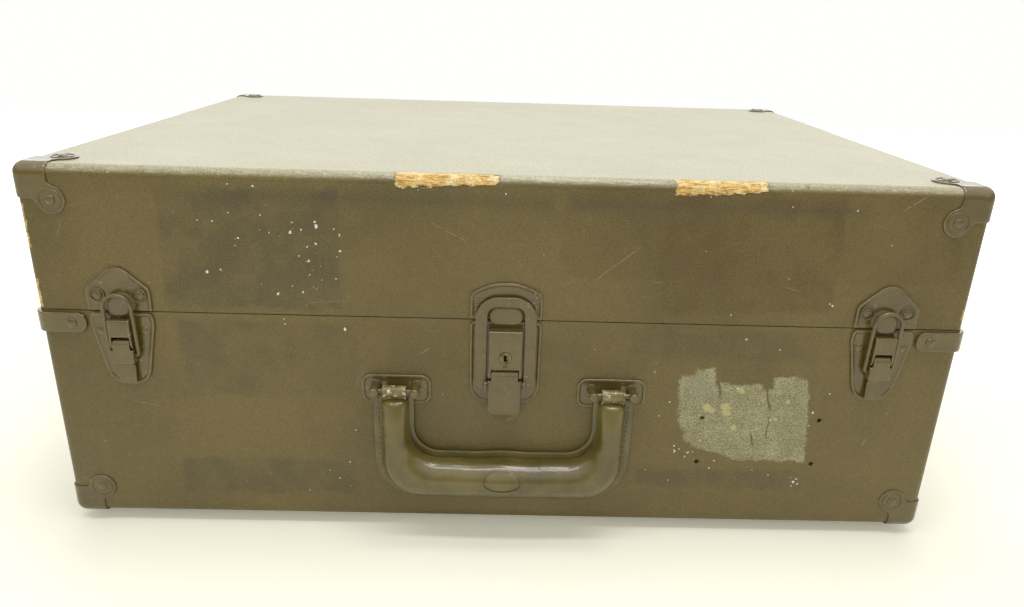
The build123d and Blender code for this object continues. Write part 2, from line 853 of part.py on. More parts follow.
# Stamped link: a flat arch over the tab, with an ear on each leg for the pin through the lever
link_inner = link_outer_width / 2 - link_band
with BuildPart() as lock_link:
    with BuildSketch(face_plane(0, link_back)) as arch:
        with Locations((0, link_arch_top)):
            Rectangle(link_outer_width, link_arch_top + link_bottom, align=(Align.CENTER, Align.MAX))
        fillet(arch.vertices().group_by(Axis.Y)[-1], link_outer_radius)
        chamfer(arch.vertices().group_by(Axis.Y)[0], link_band / 2)
        with BuildSketch(mode=Mode.SUBTRACT) as gap:
            with Locations((0, link_arch_top - link_arch_band)):
                Rectangle(2 * link_inner, 2 * link_bottom, align=(Align.CENTER, Align.MAX))
            fillet(gap.vertices().group_by(Axis.Y)[-1], link_inner_radius)
    extrude(amount=link_sheet)
    with BuildSketch(side_plane()):
        with Locations((link_back + link_ear_height / 2, -link_pivot_drop)):
            RectangleRounded(link_ear_height, 2 * (link_bottom - link_pivot_drop), link_sheet)
    extrude(amount=link_inner + link_sheet, both=True)
    with BuildSketch(side_plane()):
        with Locations((link_back, -link_pivot_drop)):
            Rectangle(4 * link_ear_height, 4 * link_ear_height)
    extrude(amount=link_inner, both=True, mode=Mode.SUBTRACT)
    pierced(0, link_pivot_proud, -link_pivot_drop, link_pin_radius + pin_gap, 2 * (link_inner + link_sheet))
write(lock_link, "lock_link")

with BuildPart() as link_pin:
    with Locations(side_plane()):
        with Locations((link_pivot_proud, -link_pivot_drop)):
            Cylinder(link_pin_radius, 2 * (link_inner + link_sheet - pin_gap))
write(link_pin, "link_pin")

# Rivets of the latches and the lock
with BuildPart() as keeper_rivets:
    for x in latch_places.values():
        with Locations(face_plane(x, plate_thickness)):
            with Locations((-keeper_rivet_x, keeper_rivet_z), (keeper_rivet_x, keeper_rivet_z)):
                add(rivet_head)
    with Locations(face_plane(0, plate_thickness)):
        with Locations((-lock_keeper_rivet_x, lock_keeper_rivet_z), (lock_keeper_rivet_x, lock_keeper_rivet_z)):
            add(small_rivet_head)
write(keeper_rivets, "keeper_rivets")

with BuildPart() as latch_rivets:
    for x in latch_places.values():
        with Locations(face_plane(x, plate_thickness)):
            with Locations((-shield_rivet_x, -shield_rivet_z), (shield_rivet_x, -shield_rivet_z)):
                add(rivet_head)
write(latch_rivets, "latch_rivets")

# Handle brackets: a stamped plate with two round-ended posts, a cross pin between them
bracket_places = {"left": -bracket_spacing / 2, "right": bracket_spacing / 2}
with BuildSketch() as bracket_outline:
    with Locations((0, -bracket_top)):
        Rectangle(bracket_width, bracket_height, align=(Align.CENTER, Align.MAX))
    fillet(bracket_outline.vertices(), bracket_corner)


def handle_bracket(x):
    with BuildPart() as bracket:
        stamped_plate(bracket_outline.sketch, face_plane(x))
        with Locations(face_plane(x, plate_thickness)):
            with Locations((0, -handle_pin_drop)):
                with GridLocations(post_spacing, 0, 2, 1):
                    Cylinder(post_radius, post_length, align=(Align.CENTER, Align.CENTER, Align.MIN))
        fillet(bracket.edges().filter_by(GeomType.CIRCLE).group_by(Axis.Y)[0], post_radius / 2)
        pierced(x, handle_pin_proud, -handle_pin_drop, handle_pin_radius + pin_gap, bracket_width)
    return bracket


def handle_loop(x):
    """Steel loop round the cross pin, its flat tail going down into the grip."""
    with BuildPart() as loop:
        with Locations(side_plane(x)):
            with Locations((handle_pin_proud, -handle_pin_drop)):
                Cylinder(loop_radius, loop_width)
        with BuildSketch(side_plane(x)):
            with Locations((handle_pin_proud, -handle_pin_drop)):
                Rectangle(loop_sheet, loop_tail, align=(Align.CENTER, Align.MAX))
        extrude(amount=loop_width / 2, both=True)
        pierced(x, handle_pin_proud, -handle_pin_drop, handle_pin_radius + pin_gap, bracket_width)
    return loop.part


for side, x in bracket_places.items():
    write(handle_bracket(x), f"handle_bracket_{side}")

with BuildPart() as handle_pins:
    for x in bracket_places.values():
        with Locations(side_plane(x)):
            with Locations((handle_pin_proud, -handle_pin_drop)):
                Cylinder(handle_pin_radius, post_spacing + 2 * post_radius)
write(handle_pins, "handle_pins")

with BuildPart() as handle_loops:
    for x in bracket_places.values():
        add(handle_loop(x))
write(handle_loops, "handle_loops")

# Grip: legs that swell into the bends, a fat middle, and a thin sewn flange at the back
leg_x = bracket_spacing / 2
leg_top_z = parting_z - handle_pin_drop - grip_leg_top
bend_z = parting_z - handle_pin_drop - grip_drop + grip_bend_radius
grip_z = parting_z - handle_pin_drop - grip_drop
bend_y = front_y - grip_back - grip_bend_depth / 2
bend_centre = (leg_x - grip_bend_radius, bend_y, bend_z)
flange_width = grip_bend_width / 2 + grip_flange
with BuildPart() as handle_grip:
    with BuildSketch(Plane((leg_x, front_y - handle_pin_proud, leg_top_z))):
        Ellipse(grip_leg_width / 2, grip_leg_depth / 2)
    with BuildSketch(Plane((leg_x, bend_y, bend_z))):
        Ellipse(grip_bend_width / 2, grip_bend_depth / 2)
    loft()
    with BuildSketch(Plane((leg_x, bend_y, bend_z))):
        Ellipse(grip_bend_width / 2, grip_bend_depth / 2)
    revolve(axis=Axis(bend_centre, (0, 1, 0)), revolution_arc=90)
    with BuildSketch(Plane(origin=(leg_x - grip_bend_radius, bend_y, grip_z), x_dir=(0, 1, 0), z_dir=(-1, 0, 0))):
        Ellipse(grip_bend_depth / 2, grip_bend_width / 2)
    with BuildSketch(
        Plane(origin=(0, front_y - grip_back - grip_middle_depth / 2, grip_z), x_dir=(0, 1, 0), z_dir=(-1, 0, 0))
    ):
        Ellipse(grip_middle_depth / 2, grip_middle_width / 2)
    loft()
    mirror(about=Plane.YZ)
    with BuildSketch(face_plane(0, grip_back)) as flange:
        flange_top = -bracket_top - bracket_height - running_gap
        flange_low = grip_z - parting_z - flange_width
        with Locations((0, flange_low)):
            Rectangle(2 * (leg_x + flange_width), flange_top - flange_low, align=(Align.CENTER, Align.MIN))
        fillet(flange.vertices().group_by(Axis.Y)[0], grip_bend_radius + grip_flange)
        with BuildSketch(mode=Mode.SUBTRACT) as gap:
            with Locations((0, grip_z - parting_z + grip_flange)):
                Rectangle(2 * (leg_x - grip_flange), case_height, align=(Align.CENTER, Align.MIN))
            fillet(gap.vertices().group_by(Axis.Y)[0], grip_bend_radius - grip_flange)
    extrude(amount=grip_flange_sheet)
    for x in bracket_places.values():
        with Locations((x, front_y - handle_pin_proud, leg_top_z)):
            Box(
                loop_width + 2 * seat_gap,
                loop_sheet + 2 * seat_gap,
                2 * (loop_tail - grip_leg_top + seat_gap),
                mode=Mode.SUBTRACT,
            )
write(handle_grip, "handle_grip")

# Rear hinges: two leaves with interleaved knuckles on one pin
hinge_x = case_width / 2 - hinge_inset
hinge_xs = (-hinge_x, hinge_x)
knuckle_pitch = hinge_width / hinge_knuckles
knuckle_length = knuckle_pitch - hinge_knuckle_gap


def hinge_leaf(x, up, first):
    """Leaf on the case's back. up is 1 on the lid and -1 on the base; first is its first knuckle."""
    knuckle_xs = [x - hinge_width / 2 + (i + 0.5) * knuckle_pitch for i in range(first, hinge_knuckles, 2)]
    clear = hinge_knuckle_radius + running_gap
    with BuildPart() as leaf:
        with Locations((x, back_y + hinge_leaf_sheet / 2, parting_z + up * (clear + hinge_leaf_height) / 2)):
            Box(hinge_width, hinge_leaf_sheet, hinge_leaf_height - clear)
        fillet(leaf.edges().filter_by(Axis.Y).group_by(Axis.Z)[-1 if up > 0 else 0], hinge_knuckle_radius)
        for knuckle_x in knuckle_xs:
            with Locations((knuckle_x, back_y + hinge_leaf_sheet / 2, parting_z + up * (clear + running_gap) / 2)):
                Box(knuckle_length, hinge_leaf_sheet, clear - running_gap)
            with Locations(hinge_plane(knuckle_x)):
                Cylinder(hinge_knuckle_radius, knuckle_length)
                Cylinder(hinge_pin_radius + pin_gap, knuckle_length, mode=Mode.SUBTRACT)
    return leaf.part


with BuildPart() as hinge_pins:
    for x in hinge_xs:
        with Locations(hinge_plane(x)):
            Cylinder(hinge_pin_radius, hinge_width)
        for end in (-1, 1):
            with Locations(hinge_plane(x + end * (hinge_width + hinge_pin_head) / 2)):
                Cylinder(hinge_pin_head_radius, hinge_pin_head)
write(hinge_pins, "hinge_pins")

hinge_rivet_height = (hinge_leaf_height + hinge_axis_out) / 2
for name, up, first_knuckle in (("lid", 1, 1), ("base", -1, 0)):
    with BuildPart() as hinge_leaves:
        for x in hinge_xs:
            add(hinge_leaf(x, up, first_knuckle))
    write(hinge_leaves, f"hinge_leaves_{name}")
    with BuildPart() as hinge_rivets:
        for x in hinge_xs:
            with Locations(rear_plane(x, up * hinge_rivet_height).offset(hinge_leaf_sheet)):
                with GridLocations(hinge_rivet_spacing, 0, 3, 1):
                    add(small_rivet_head)
    write(hinge_rivets, f"hinge_rivets_{name}")

# Folding lid stays inside the side walls: each is a parallelogram with the hinge axis as its fourth pivot
axis_y = back_y + hinge_axis_out
stay_pivot_y = axis_y - stay_reach
stay_elbow_y = axis_y - 2 * stay_reach
lower_bar_x = inner_x - lip_thickness - stay_wall_gap - stay_bar_sheet / 2
upper_bar_x = lower_bar_x - stay_bar_sheet - running_gap


def stay_stud(side, z, bar_x):
    """Boss on a side wall with the stud and head that carry one end of a bar."""
    boss_x = bar_x + stay_bar_sheet / 2 + running_gap
    head_x = bar_x - stay_bar_sheet / 2 - running_gap
    along = Plane(origin=(side * inner_x, stay_pivot_y, z), x_dir=(0, 1, 0), z_dir=(-side, 0, 0))
    with BuildPart() as stud:
        with Locations(along):
            Cylinder(stay_boss_radius, inner_x - boss_x, align=(Align.CENTER, Align.CENTER, Align.MIN))
            Cylinder(stay_stud_radius, inner_x - head_x, align=(Align.CENTER, Align.CENTER, Align.MIN))
        with Locations(along.offset(inner_x - head_x)):
            Cylinder(stay_head_radius, stay_head_sheet, align=(Align.CENTER, Align.CENTER, Align.MIN))
    return stud.part


def bar_plane(side, start_z, bar_x):
    """Plane in the middle of a bar's sheet, centred between its two pivots, its x along the bar."""
    start = Vector(side * bar_x, stay_pivot_y, start_z)
    elbow = Vector(side * bar_x, stay_elbow_y, parting_z)
    return Plane(origin=(start + elbow) / 2, x_dir=elbow - start, z_dir=(1, 0, 0))


stay_bar_length = Vector(stay_reach, stay_offset).length


def stay_lower_bar(side):
    """Bar from the base's stud to the elbow, where its hole leaves the rivet free."""
    middle = bar_plane(side, parting_z - stay_offset, lower_bar_x)
    with BuildPart() as bar:
        with BuildSketch(middle):
            SlotCenterToCenter(stay_bar_length, stay_bar_width)
            with Locations((-stay_bar_length / 2, 0)):
                Circle(stay_stud_radius + pin_gap, mode=Mode.SUBTRACT)
            with Locations((stay_bar_length / 2, 0)):
                Circle(stay_stud_radius + running_gap, mode=Mode.SUBTRACT)
        extrude(amount=stay_bar_sheet / 2, both=True)
    return bar


def stay_upper_bar(side):
    """Bar from the lid's stud to the elbow, with the elbow's rivet on it."""
    middle = bar_plane(side, parting_z + stay_offset, upper_bar_x)
    rivet_out = lower_bar_x + stay_bar_sheet / 2 + running_gap + stay_head_sheet
    elbow = Plane(origin=(side * upper_bar_x, stay_elbow_y, parting_z), x_dir=(0, 1, 0), z_dir=(side, 0, 0))
    with BuildPart() as bar:
        with BuildSketch(middle):
            SlotCenterToCenter(stay_bar_length, stay_bar_width)
            with Locations((-stay_bar_length / 2, 0)):
                Circle(stay_stud_radius + pin_gap, mode=Mode.SUBTRACT)
        extrude(amount=stay_bar_sheet / 2, both=True)
        with Locations(elbow):
            Cylinder(stay_stud_radius, rivet_out - upper_bar_x, align=(Align.CENTER, Align.CENTER, Align.MIN))
        with Locations(elbow.offset(rivet_out - stay_head_sheet - upper_bar_x)):
            Cylinder(stay_head_radius, stay_head_sheet, align=(Align.CENTER, Align.CENTER, Align.MIN))
    return bar


for name, z, bar_x in (
    ("stay_studs_base", parting_z - stay_offset, lower_bar_x),
    ("stay_studs_lid", parting_z + stay_offset, upper_bar_x),
):
    with BuildPart() as stay_studs:
        for side in (-1, 1):
            add(stay_stud(side, z, bar_x))
    write(stay_studs, name)

for side_name, side in (("left", -1), ("right", 1)):
    write(stay_lower_bar(side), f"stay_lower_bar_{side_name}")
    write(stay_upper_bar(side), f"stay_upper_bar_{side_name}")

# Dividers: a long one from front to back, and a cross one from it to the right wall
divider_top_z = parting_z - divider_drop
divider_height = divider_top_z - floor_z
with BuildPart() as divider_long:
    with Locations((divider_x, middle_y, floor_z + divider_height / 2)):
        Box(divider_thickness, inner_depth, divider_height)
    fillet(divider_long.faces().sort_by(Axis.Z)[-1].edges().filter_by(Axis.Y), divider_round)
write(divider_long, "divider_long")

cross_low_x = divider_x + divider_thickness / 2
cross_length = inner_x - cross_low_x
with BuildPart() as divider_cross:
    with Locations((cross_low_x + cross_length / 2, divider_cross_y, floor_z + divider_height / 2)):
        Box(cross_length, divider_thickness, divider_height)
    fillet(divider_cross.faces().sort_by(Axis.Z)[-1].edges().filter_by(Axis.X), divider_round)
write(divider_cross, "divider_cross")

# Felt on the floors of the three bays, and a felt pad under the lid's top
divider_low_x = divider_x - divider_thickness / 2
bays = {
    "camera": (-inner_x, inner_front_y, divider_low_x, inner_back_y),
    "lens": (cross_low_x, inner_front_y, inner_x, divider_cross_y - divider_thickness / 2),
    "film": (cross_low_x, divider_cross_y + divider_thickness / 2, inner_x, inner_back_y),
}
with BuildPart() as floor_felt:
    for low_x, low_y, high_x, high_y in bays.values():
        with Locations(((low_x + high_x) / 2, (low_y + high_y) / 2, floor_z)):
            Box(
                high_x - low_x - 2 * felt_margin,
                high_y - low_y - 2 * felt_margin,
                felt_thickness,
                align=(Align.CENTER, Align.CENTER, Align.MIN),
            )
write(floor_felt, "floor_felt")

with BuildPart() as lid_pad:
    with Locations((0, middle_y, top_z - panel)):
        Box(
            inner_width - 2 * lid_pad_margin,
            inner_depth - 2 * lid_pad_margin,
            lid_pad_thickness,
            align=(Align.CENTER, Align.CENTER, Align.MAX),
        )
    fillet(lid_pad.edges().filter_by(Axis.Z), lid_pad_thickness)
    fillet(lid_pad.faces().sort_by(Axis.Z)[0].edges(), lid_pad_thickness / 2)
write(lid_pad, "lid_pad")
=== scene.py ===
import math
import random
import bpy
import bmesh
from mathutils import Matrix, Vector, noise


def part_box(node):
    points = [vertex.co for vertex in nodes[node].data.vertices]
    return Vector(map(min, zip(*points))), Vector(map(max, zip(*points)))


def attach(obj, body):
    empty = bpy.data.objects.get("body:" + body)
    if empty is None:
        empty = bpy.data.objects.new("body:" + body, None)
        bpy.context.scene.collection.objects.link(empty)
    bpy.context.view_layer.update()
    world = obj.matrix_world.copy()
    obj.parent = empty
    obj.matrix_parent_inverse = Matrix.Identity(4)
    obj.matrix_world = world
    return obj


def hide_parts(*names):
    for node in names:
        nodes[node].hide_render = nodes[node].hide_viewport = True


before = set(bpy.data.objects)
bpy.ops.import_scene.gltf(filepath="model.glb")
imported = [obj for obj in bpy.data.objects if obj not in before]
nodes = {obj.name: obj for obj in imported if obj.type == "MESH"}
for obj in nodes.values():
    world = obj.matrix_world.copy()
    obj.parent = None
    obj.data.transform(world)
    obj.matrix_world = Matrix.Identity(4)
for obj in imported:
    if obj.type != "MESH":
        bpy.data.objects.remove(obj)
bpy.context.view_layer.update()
print("stage: frame loaded")

# The closed case, in metres
case = {
    "halfWidth": 0.280,
    "frontY": -0.19455,
    "backY": 0.21145,
    "bottomZ": 0.007,
    "topZ": 0.237,
    "partingZ": 0.150,
}
case["middleY"] = (case["frontY"] + case["backY"]) / 2
case["halfDepth"] = (case["backY"] - case["frontY"]) / 2
case["middleZ"] = (case["bottomZ"] + case["topZ"]) / 2
case["halfHeight"] = (case["topZ"] - case["bottomZ"]) / 2


# Node helpers
class Finish:
    def __init__(self, name):
        self.material = bpy.data.materials.new(name)
        self.material.use_nodes = True
        self.tree = self.material.node_tree
        self.shader = self.tree.nodes["Principled BSDF"]
        coordinates = self.tree.nodes.new("ShaderNodeTexCoord")
        self.place = coordinates.outputs["Object"]
        split = self.add("ShaderNodeSeparateXYZ")
        self.feed(split.inputs[0], self.place)
        self.x, self.y, self.z = split.outputs

    def add(self, kind, **settings):
        node = self.tree.nodes.new(kind)
        for key, value in settings.items():
            setattr(node, key, value)
        return node

    def feed(self, socket, value):
        if isinstance(value, bpy.types.NodeSocket):
            self.tree.links.new(value, socket)
        else:
            socket.default_value = value

    def math(self, operation, a, b=0.0, clamp=False):
        node = self.add("ShaderNodeMath", operation=operation, use_clamp=clamp)
        self.feed(node.inputs[0], a)
        self.feed(node.inputs[1], b)
        return node.outputs[0]

    def product(self, *values):
        result = values[0]
        for value in values[1:]:
            result = self.math("MULTIPLY", result, value)
        return result

    def largest(self, *values):
        result = values[0]
        for value in values[1:]:
            result = self.math("MAXIMUM", result, value)
        return result

    def stretched(self, x, y, z):
        node = self.add("ShaderNodeVectorMath", operation="MULTIPLY")
        self.feed(node.inputs[0], self.place)
        self.feed(node.inputs[1], (x, y, z))
        return node.outputs[0]

    def noise(self, scale, detail=3.0, rough=0.55, vector=None, distortion=0.0):
        node = self.add("ShaderNodeTexNoise")
        self.feed(node.inputs["Vector"], vector or self.place)
        self.feed(node.inputs["Scale"], scale)
        self.feed(node.inputs["Detail"], detail)
        self.feed(node.inputs["Roughness"], rough)
        self.feed(node.inputs["Distortion"], distortion)
        return node.outputs["Fac"]

    def cells(self, scale, feature="F1"):
        node = self.add("ShaderNodeTexVoronoi", feature=feature)
        self.feed(node.inputs["Vector"], self.place)
        self.feed(node.inputs["Scale"], scale)
        return node

    def between(self, value, low, high):
        node = self.add("ShaderNodeMapRange", interpolation_type="SMOOTHSTEP")
        self.feed(node.inputs["Value"], value)
        self.feed(node.inputs["From Min"], low)
        self.feed(node.inputs["From Max"], high)
        return node.outputs["Result"]

    def blend(self, amount, under, over):
        node = self.add("ShaderNodeMix", data_type="RGBA")
        self.feed(node.inputs[0], amount)
        self.feed(node.inputs[6], under)
        self.feed(node.inputs[7], over)
        return node.outputs[2]

    def tinted(self, colour, value):
        node = self.add("ShaderNodeMix", data_type="RGBA", blend_type="MULTIPLY")
        self.feed(node.inputs[0], 1.0)
        self.feed(node.inputs[6], colour)
        self.feed(node.inputs[7], value)
        return node.outputs[2]

    def spot(self, x, z, radius, wander):
        # round blotch on the front
        dx = self.math("SUBTRACT", self.x, x)
        dz = self.math("SUBTRACT", self.z, z)
        away = self.math("SQRT", self.math("ADD", self.product(dx, dx), self.product(dz, dz)))
        inside = self.math("ADD", self.math("SUBTRACT", radius, away), wander)
        return self.between(inside, 0.0, radius * 0.6)

    def softEdges(self, radius):
        node = self.add("ShaderNodeBevel", samples=4)
        self.feed(node.inputs["Radius"], radius)
        return node.outputs["Normal"]

    def relief(self, height, distance, strength, under=None):
        node = self.add("ShaderNodeBump")
        self.feed(node.inputs["Height"], height)
        self.feed(node.inputs["Distance"], distance)
        self.feed(node.inputs["Strength"], strength)
        if under:
            self.feed(node.inputs["Normal"], under)
        return node.outputs["Normal"]

    def ragged(self, amount, scale, detail=4.0):
        return self.product(self.math("SUBTRACT", self.noise(scale, detail, 0.6), 0.5), amount)

    def within(self, value, centre, half):
        away = self.math("ABSOLUTE", self.math("SUBTRACT", value, centre))
        return self.math("SUBTRACT", half, away)

    def block(self, x, z, halfX, halfZ, soft, wander):
        inside = self.math("MINIMUM", self.within(self.x, x, halfX), self.within(self.z, z, halfZ))
        return self.between(self.math("ADD", inside, wander), 0.0, soft)

    def stroke(self, start, end, width, wander):
        # thin mark from start to end, each (x, z)
        run = Vector((end[0] - start[0], end[1] - start[1]))
        along = run.normalized()
        fromX = self.math("SUBTRACT", self.x, (start[0] + end[0]) / 2)
        fromZ = self.math("SUBTRACT", self.z, (start[1] + end[1]) / 2)
        u = self.math("ADD", self.product(fromX, along.x), self.product(fromZ, along.y))
        v = self.math("SUBTRACT", self.product(fromZ, along.x), self.product(fromX, along.y))
        v = self.math("ADD", v, self.ragged(wander, 60.0, 1.0))
        inU = self.between(self.within(u, 0.0, run.length / 2), 0.0, 0.004)
        inV = self.between(self.within(v, 0.0, width), 0.0, width)
        return self.product(inU, inV)

    def finish(self, colour, roughness, normal=None, metallic=0.0, **sockets):
        self.feed(self.shader.inputs["Base Color"], colour)
        self.feed(self.shader.inputs["Roughness"], roughness)
        self.feed(self.shader.inputs["Metallic"], metallic)
        if normal:
            self.feed(self.shader.inputs["Normal"], normal)
        for key, value in sockets.items():
            self.feed(self.shader.inputs[key], value)
        return self.material


def rgb(red, green, blue):
    return (red, green, blue, 1.0)


def paintNode(material, *names):
    for name in names:
        piece = nodes[name]
        piece.data.materials.clear()
        piece.data.materials.append(material)


# Painted covering of the case
covering = {
    "olive": rgb(0.164, 0.120, 0.038),
    "oliveDark": rgb(0.084, 0.062, 0.019),
    "olivePale": rgb(0.240, 0.195, 0.082),
    "stain": rgb(0.058, 0.054, 0.030),
    "brown": rgb(0.110, 0.070, 0.018),
    "topDustAndSheen": rgb(0.400, 0.375, 0.235),
    "wood": rgb(0.780, 0.540, 0.180),
    "woodDark": rgb(0.380, 0.200, 0.050),
    "woodPale": rgb(0.860, 0.740, 0.420),
    "scuff": rgb(0.440, 0.420, 0.260),
    "scuffMiddle": rgb(0.265, 0.245, 0.130),
    "scuffDark": rgb(0.130, 0.112, 0.046),
    "scuffBlue": rgb(0.290, 0.295, 0.195),
    "yellowing": rgb(0.520, 0.490, 0.220),
    "fray": rgb(0.500, 0.470, 0.330),
    "speck": rgb(0.780, 0.770, 0.700),
    "scratch": rgb(0.310, 0.270, 0.165),
    "frontSkin": 0.007,  # the front's marks end this far behind its face
    "edgeRadius": 0.0008,
}

# Marks on the front: x and z of the middle, then half sizes
frontMarks = {
    "stains": (  # x, z, half width, half height, tone, weight
        (-0.150, 0.190, 0.054, 0.039, "stain", 0.50),
        (-0.145, 0.120, 0.056, 0.028, "stain", 0.38),
        (-0.150, 0.037, 0.058, 0.015, "stain", 0.40),
        (0.143, 0.194, 0.055, 0.038, "brown", 0.75),
        (0.150, 0.206, 0.120, 0.030, "brown", 0.30),
        (0.020, 0.134, 0.030, 0.014, "stain", 0.20),
        (0.140, 0.041, 0.055, 0.009, "stain", 0.40),
        (0.135, 0.136, 0.060, 0.011, "stain", 0.25),
    ),
    "darkBands": ((-0.080, 0.222, 0.110, 0.009), (0.120, 0.222, 0.090, 0.008)),
    "scratches": (  # start, end, width
        ((0.0503, 0.1749), (0.0780, 0.1985), 0.00035), ((-0.0454, 0.2095), (-0.0223, 0.1976), 0.00030),
        ((-0.0530, 0.1255), (-0.0450, 0.1310), 0.00060), ((0.0850, 0.1760), (0.0950, 0.1765), 0.00030),
        ((0.225, 0.222), (0.240, 0.233), 0.00045), ((-0.262, 0.190), (-0.256, 0.205), 0.00030),
        ((-0.258, 0.178), (-0.252, 0.172), 0.00030), ((0.246, 0.205), (0.255, 0.206), 0.00025),
        ((-0.232, 0.090), (-0.214, 0.086), 0.00035), ((0.232, 0.066), (0.234, 0.075), 0.00050),
        ((0.163, 0.176), (0.176, 0.172), 0.00025), ((-0.120, 0.158), (-0.090, 0.160), 0.00020),
        ((0.140, 0.122), (0.146, 0.121), 0.00035), ((-0.080, 0.100), (-0.062, 0.096), 0.00025),
        ((0.070, 0.112), (0.074, 0.100), 0.00030),
    ),
    "spatter": (  # area, then the share of cells left without a drop
        (-0.118, 0.188, 0.026, 0.034, 0.965), (-0.160, 0.190, 0.060, 0.040, 0.990),
        (0.120, 0.058, 0.014, 0.008, 0.90), (0.190, 0.038, 0.008, 0.007, 0.80),
        (-0.165, 0.037, 0.050, 0.014, 0.985), (0.0, 0.130, 0.280, 0.110, 0.9985),
    ),
    "topChips": ((-0.0355, 0.0295, 0.2345, 0.0040), (0.1210, 0.0265, 0.2345, 0.0045)),  # x, half, z, half
    "cornerChips": (  # x, z, half height
        (-0.281, 0.2060, 0.0085), (-0.281, 0.1930, 0.0050),
        (-0.281, 0.1600, 0.0090), (0.281, 0.1600, 0.0035),
    ),
}

# The pale rectangle low on the right, torn along its top into three lobes
patch = {
    "leanFrom": 0.115,
    "lean": 0.12,
    "lobes": (
        (0.1500, 0.0815, 0.0415, 0.0275), (0.1200, 0.0980, 0.0120, 0.0195),
        (0.1250, 0.1000, 0.0070, 0.0215), (0.1485, 0.0980, 0.0150, 0.0140),
        (0.1790, 0.0980, 0.0115, 0.0180),
    ),
    "cornerCut": (0.1115, 0.394),  # z at x = 0, and fall per metre
    "tears": (  # start, end, width
        ((0.1335, 0.119), (0.1345, 0.099), 0.0016), ((0.1640, 0.113), (0.1660, 0.090), 0.0013),
        ((0.1655, 0.090), (0.1635, 0.070), 0.0008), ((0.1535, 0.078), (0.1560, 0.064), 0.0010),
    ),
    "blueSpot": (0.1235, 0.1090, 0.0100),
    "yellowSpots": (  # x, z, radius
        (0.1382, 0.0939, 0.0042), (0.1385, 0.0900, 0.0034), (0.1262, 0.0935, 0.0040),
        (0.1290, 0.0920, 0.0028), (0.1433, 0.0796, 0.0026), (0.1478, 0.1062, 0.0030),
        (0.1773, 0.0985, 0.0022), (0.1700, 0.0862, 0.0016),
    ),
}


def edgeDistance(f):
    dx = f.math("SUBTRACT", case["halfWidth"], f.math("ABSOLUTE", f.x))
    dy = f.within(f.y, case["middleY"], case["halfDepth"])
    dz = f.within(f.z, case["middleZ"], case["halfHeight"])
    low = f.math("MINIMUM", dx, dy)
    high = f.math("MAXIMUM", dx, dy)
    return f.math("MAXIMUM", low, f.math("MINIMUM", high, dz))


def layStains(f, colour, onFront):
    # darker rectangles where labels were, and darker bands under the top edge
    mottle = f.between(f.noise(38.0, 5.0, 0.65), 0.38, 0.62)
    depth = f.math("ADD", f.product(mottle, 0.7), 0.3)
    wander = f.math("ADD", f.ragged(0.012, 45.0), f.ragged(0.004, 400.0))
    for x, z, halfX, halfZ, tone, weight in frontMarks["stains"]:
        area = f.product(f.block(x, z, halfX, halfZ, 0.005, wander), onFront)
        colour = f.blend(f.product(area, depth, weight), colour, covering[tone])
    for x, z, halfX, halfZ in frontMarks["darkBands"]:
        area = f.product(f.block(x, z, halfX, halfZ, 0.014, f.ragged(0.012, 20.0)), onFront)
        colour = f.blend(f.product(area, 0.55), colour, covering["stain"])
    return colour


def layPatch(f, colour, onFront):
    c = covering
    upright = f.x
    f.x = f.math("SUBTRACT", upright, f.product(f.math("SUBTRACT", patch["leanFrom"], f.z), patch["lean"]))
    tear = f.math("ADD", f.ragged(0.011, 70.0), f.ragged(0.005, 600.0))
    lobes = [f.block(*lobe, 0.0025, tear) for lobe in patch["lobes"]]
    cutFrom, cutFall = patch["cornerCut"]
    slope = f.math("SUBTRACT", cutFrom, f.product(f.x, cutFall))
    aboveSlope = f.between(f.math("ADD", f.math("SUBTRACT", f.z, slope), tear), 0.0, 0.003)
    area = f.product(f.largest(*lobes), aboveSlope, onFront)
    tears = f.largest(*(f.stroke(start, end, width, 0.004) for start, end, width in patch["tears"]))
    flakes = f.noise(1.0, 3.0, 0.65, f.stretched(950.0, 950.0, 1250.0))
    clouds = f.noise(75.0, 4.0, 0.65)
    tone = f.blend(f.between(flakes, 0.26, 0.50), c["scuffDark"], c["scuffMiddle"])
    pale = f.between(f.math("ADD", flakes, f.product(clouds, 0.6)), 0.70, 0.98)
    tone = f.blend(f.product(pale, 0.75), tone, c["scuff"])
    tone = f.blend(f.product(f.spot(*patch["blueSpot"], tear), 0.60), tone, c["scuffBlue"])
    yellow = [f.spot(*spot, f.ragged(0.004, 260.0)) for spot in patch["yellowSpots"]]
    tone = f.blend(f.product(f.largest(*yellow), 0.75), tone, c["yellowing"])
    tone = f.blend(f.product(tears, 0.8), tone, c["oliveDark"])
    f.x = upright
    cover = f.math("ADD", f.product(f.between(flakes, 0.3, 0.5), 0.25), 0.72)
    return f.blend(f.product(area, cover), colour, tone), area


def layScratches(f, colour, onFront):
    marks = [f.stroke(start, end, width, 0.0015) for start, end, width in frontMarks["scratches"]]
    scratch = f.product(f.largest(*marks), onFront, f.between(f.noise(300.0, 2.0), 0.35, 0.5))
    return f.blend(f.product(scratch, 0.85), colour, covering["scratch"]), scratch


def laySpatter(f, colour, onFront):
    # finest white drops: one in a few hundred cells
    spots = f.cells(620.0)
    chosen = f.add("ShaderNodeSeparateColor")
    f.feed(chosen.inputs[0], spots.outputs["Color"])
    size = f.product(chosen.outputs[1], 0.42)
    drop = f.between(f.math("SUBTRACT", size, spots.outputs["Distance"]), 0.0, 0.06)
    many = []
    for x, z, halfX, halfZ, share in frontMarks["spatter"]:
        area = f.block(x, z, halfX, halfZ, 0.008, f.ragged(0.014, 30.0))
        many.append(f.product(area, f.math("GREATER_THAN", chosen.outputs[0], share)))
    specks = f.product(drop, f.largest(*many), onFront)
    return f.blend(specks, colour, covering["speck"]), specks


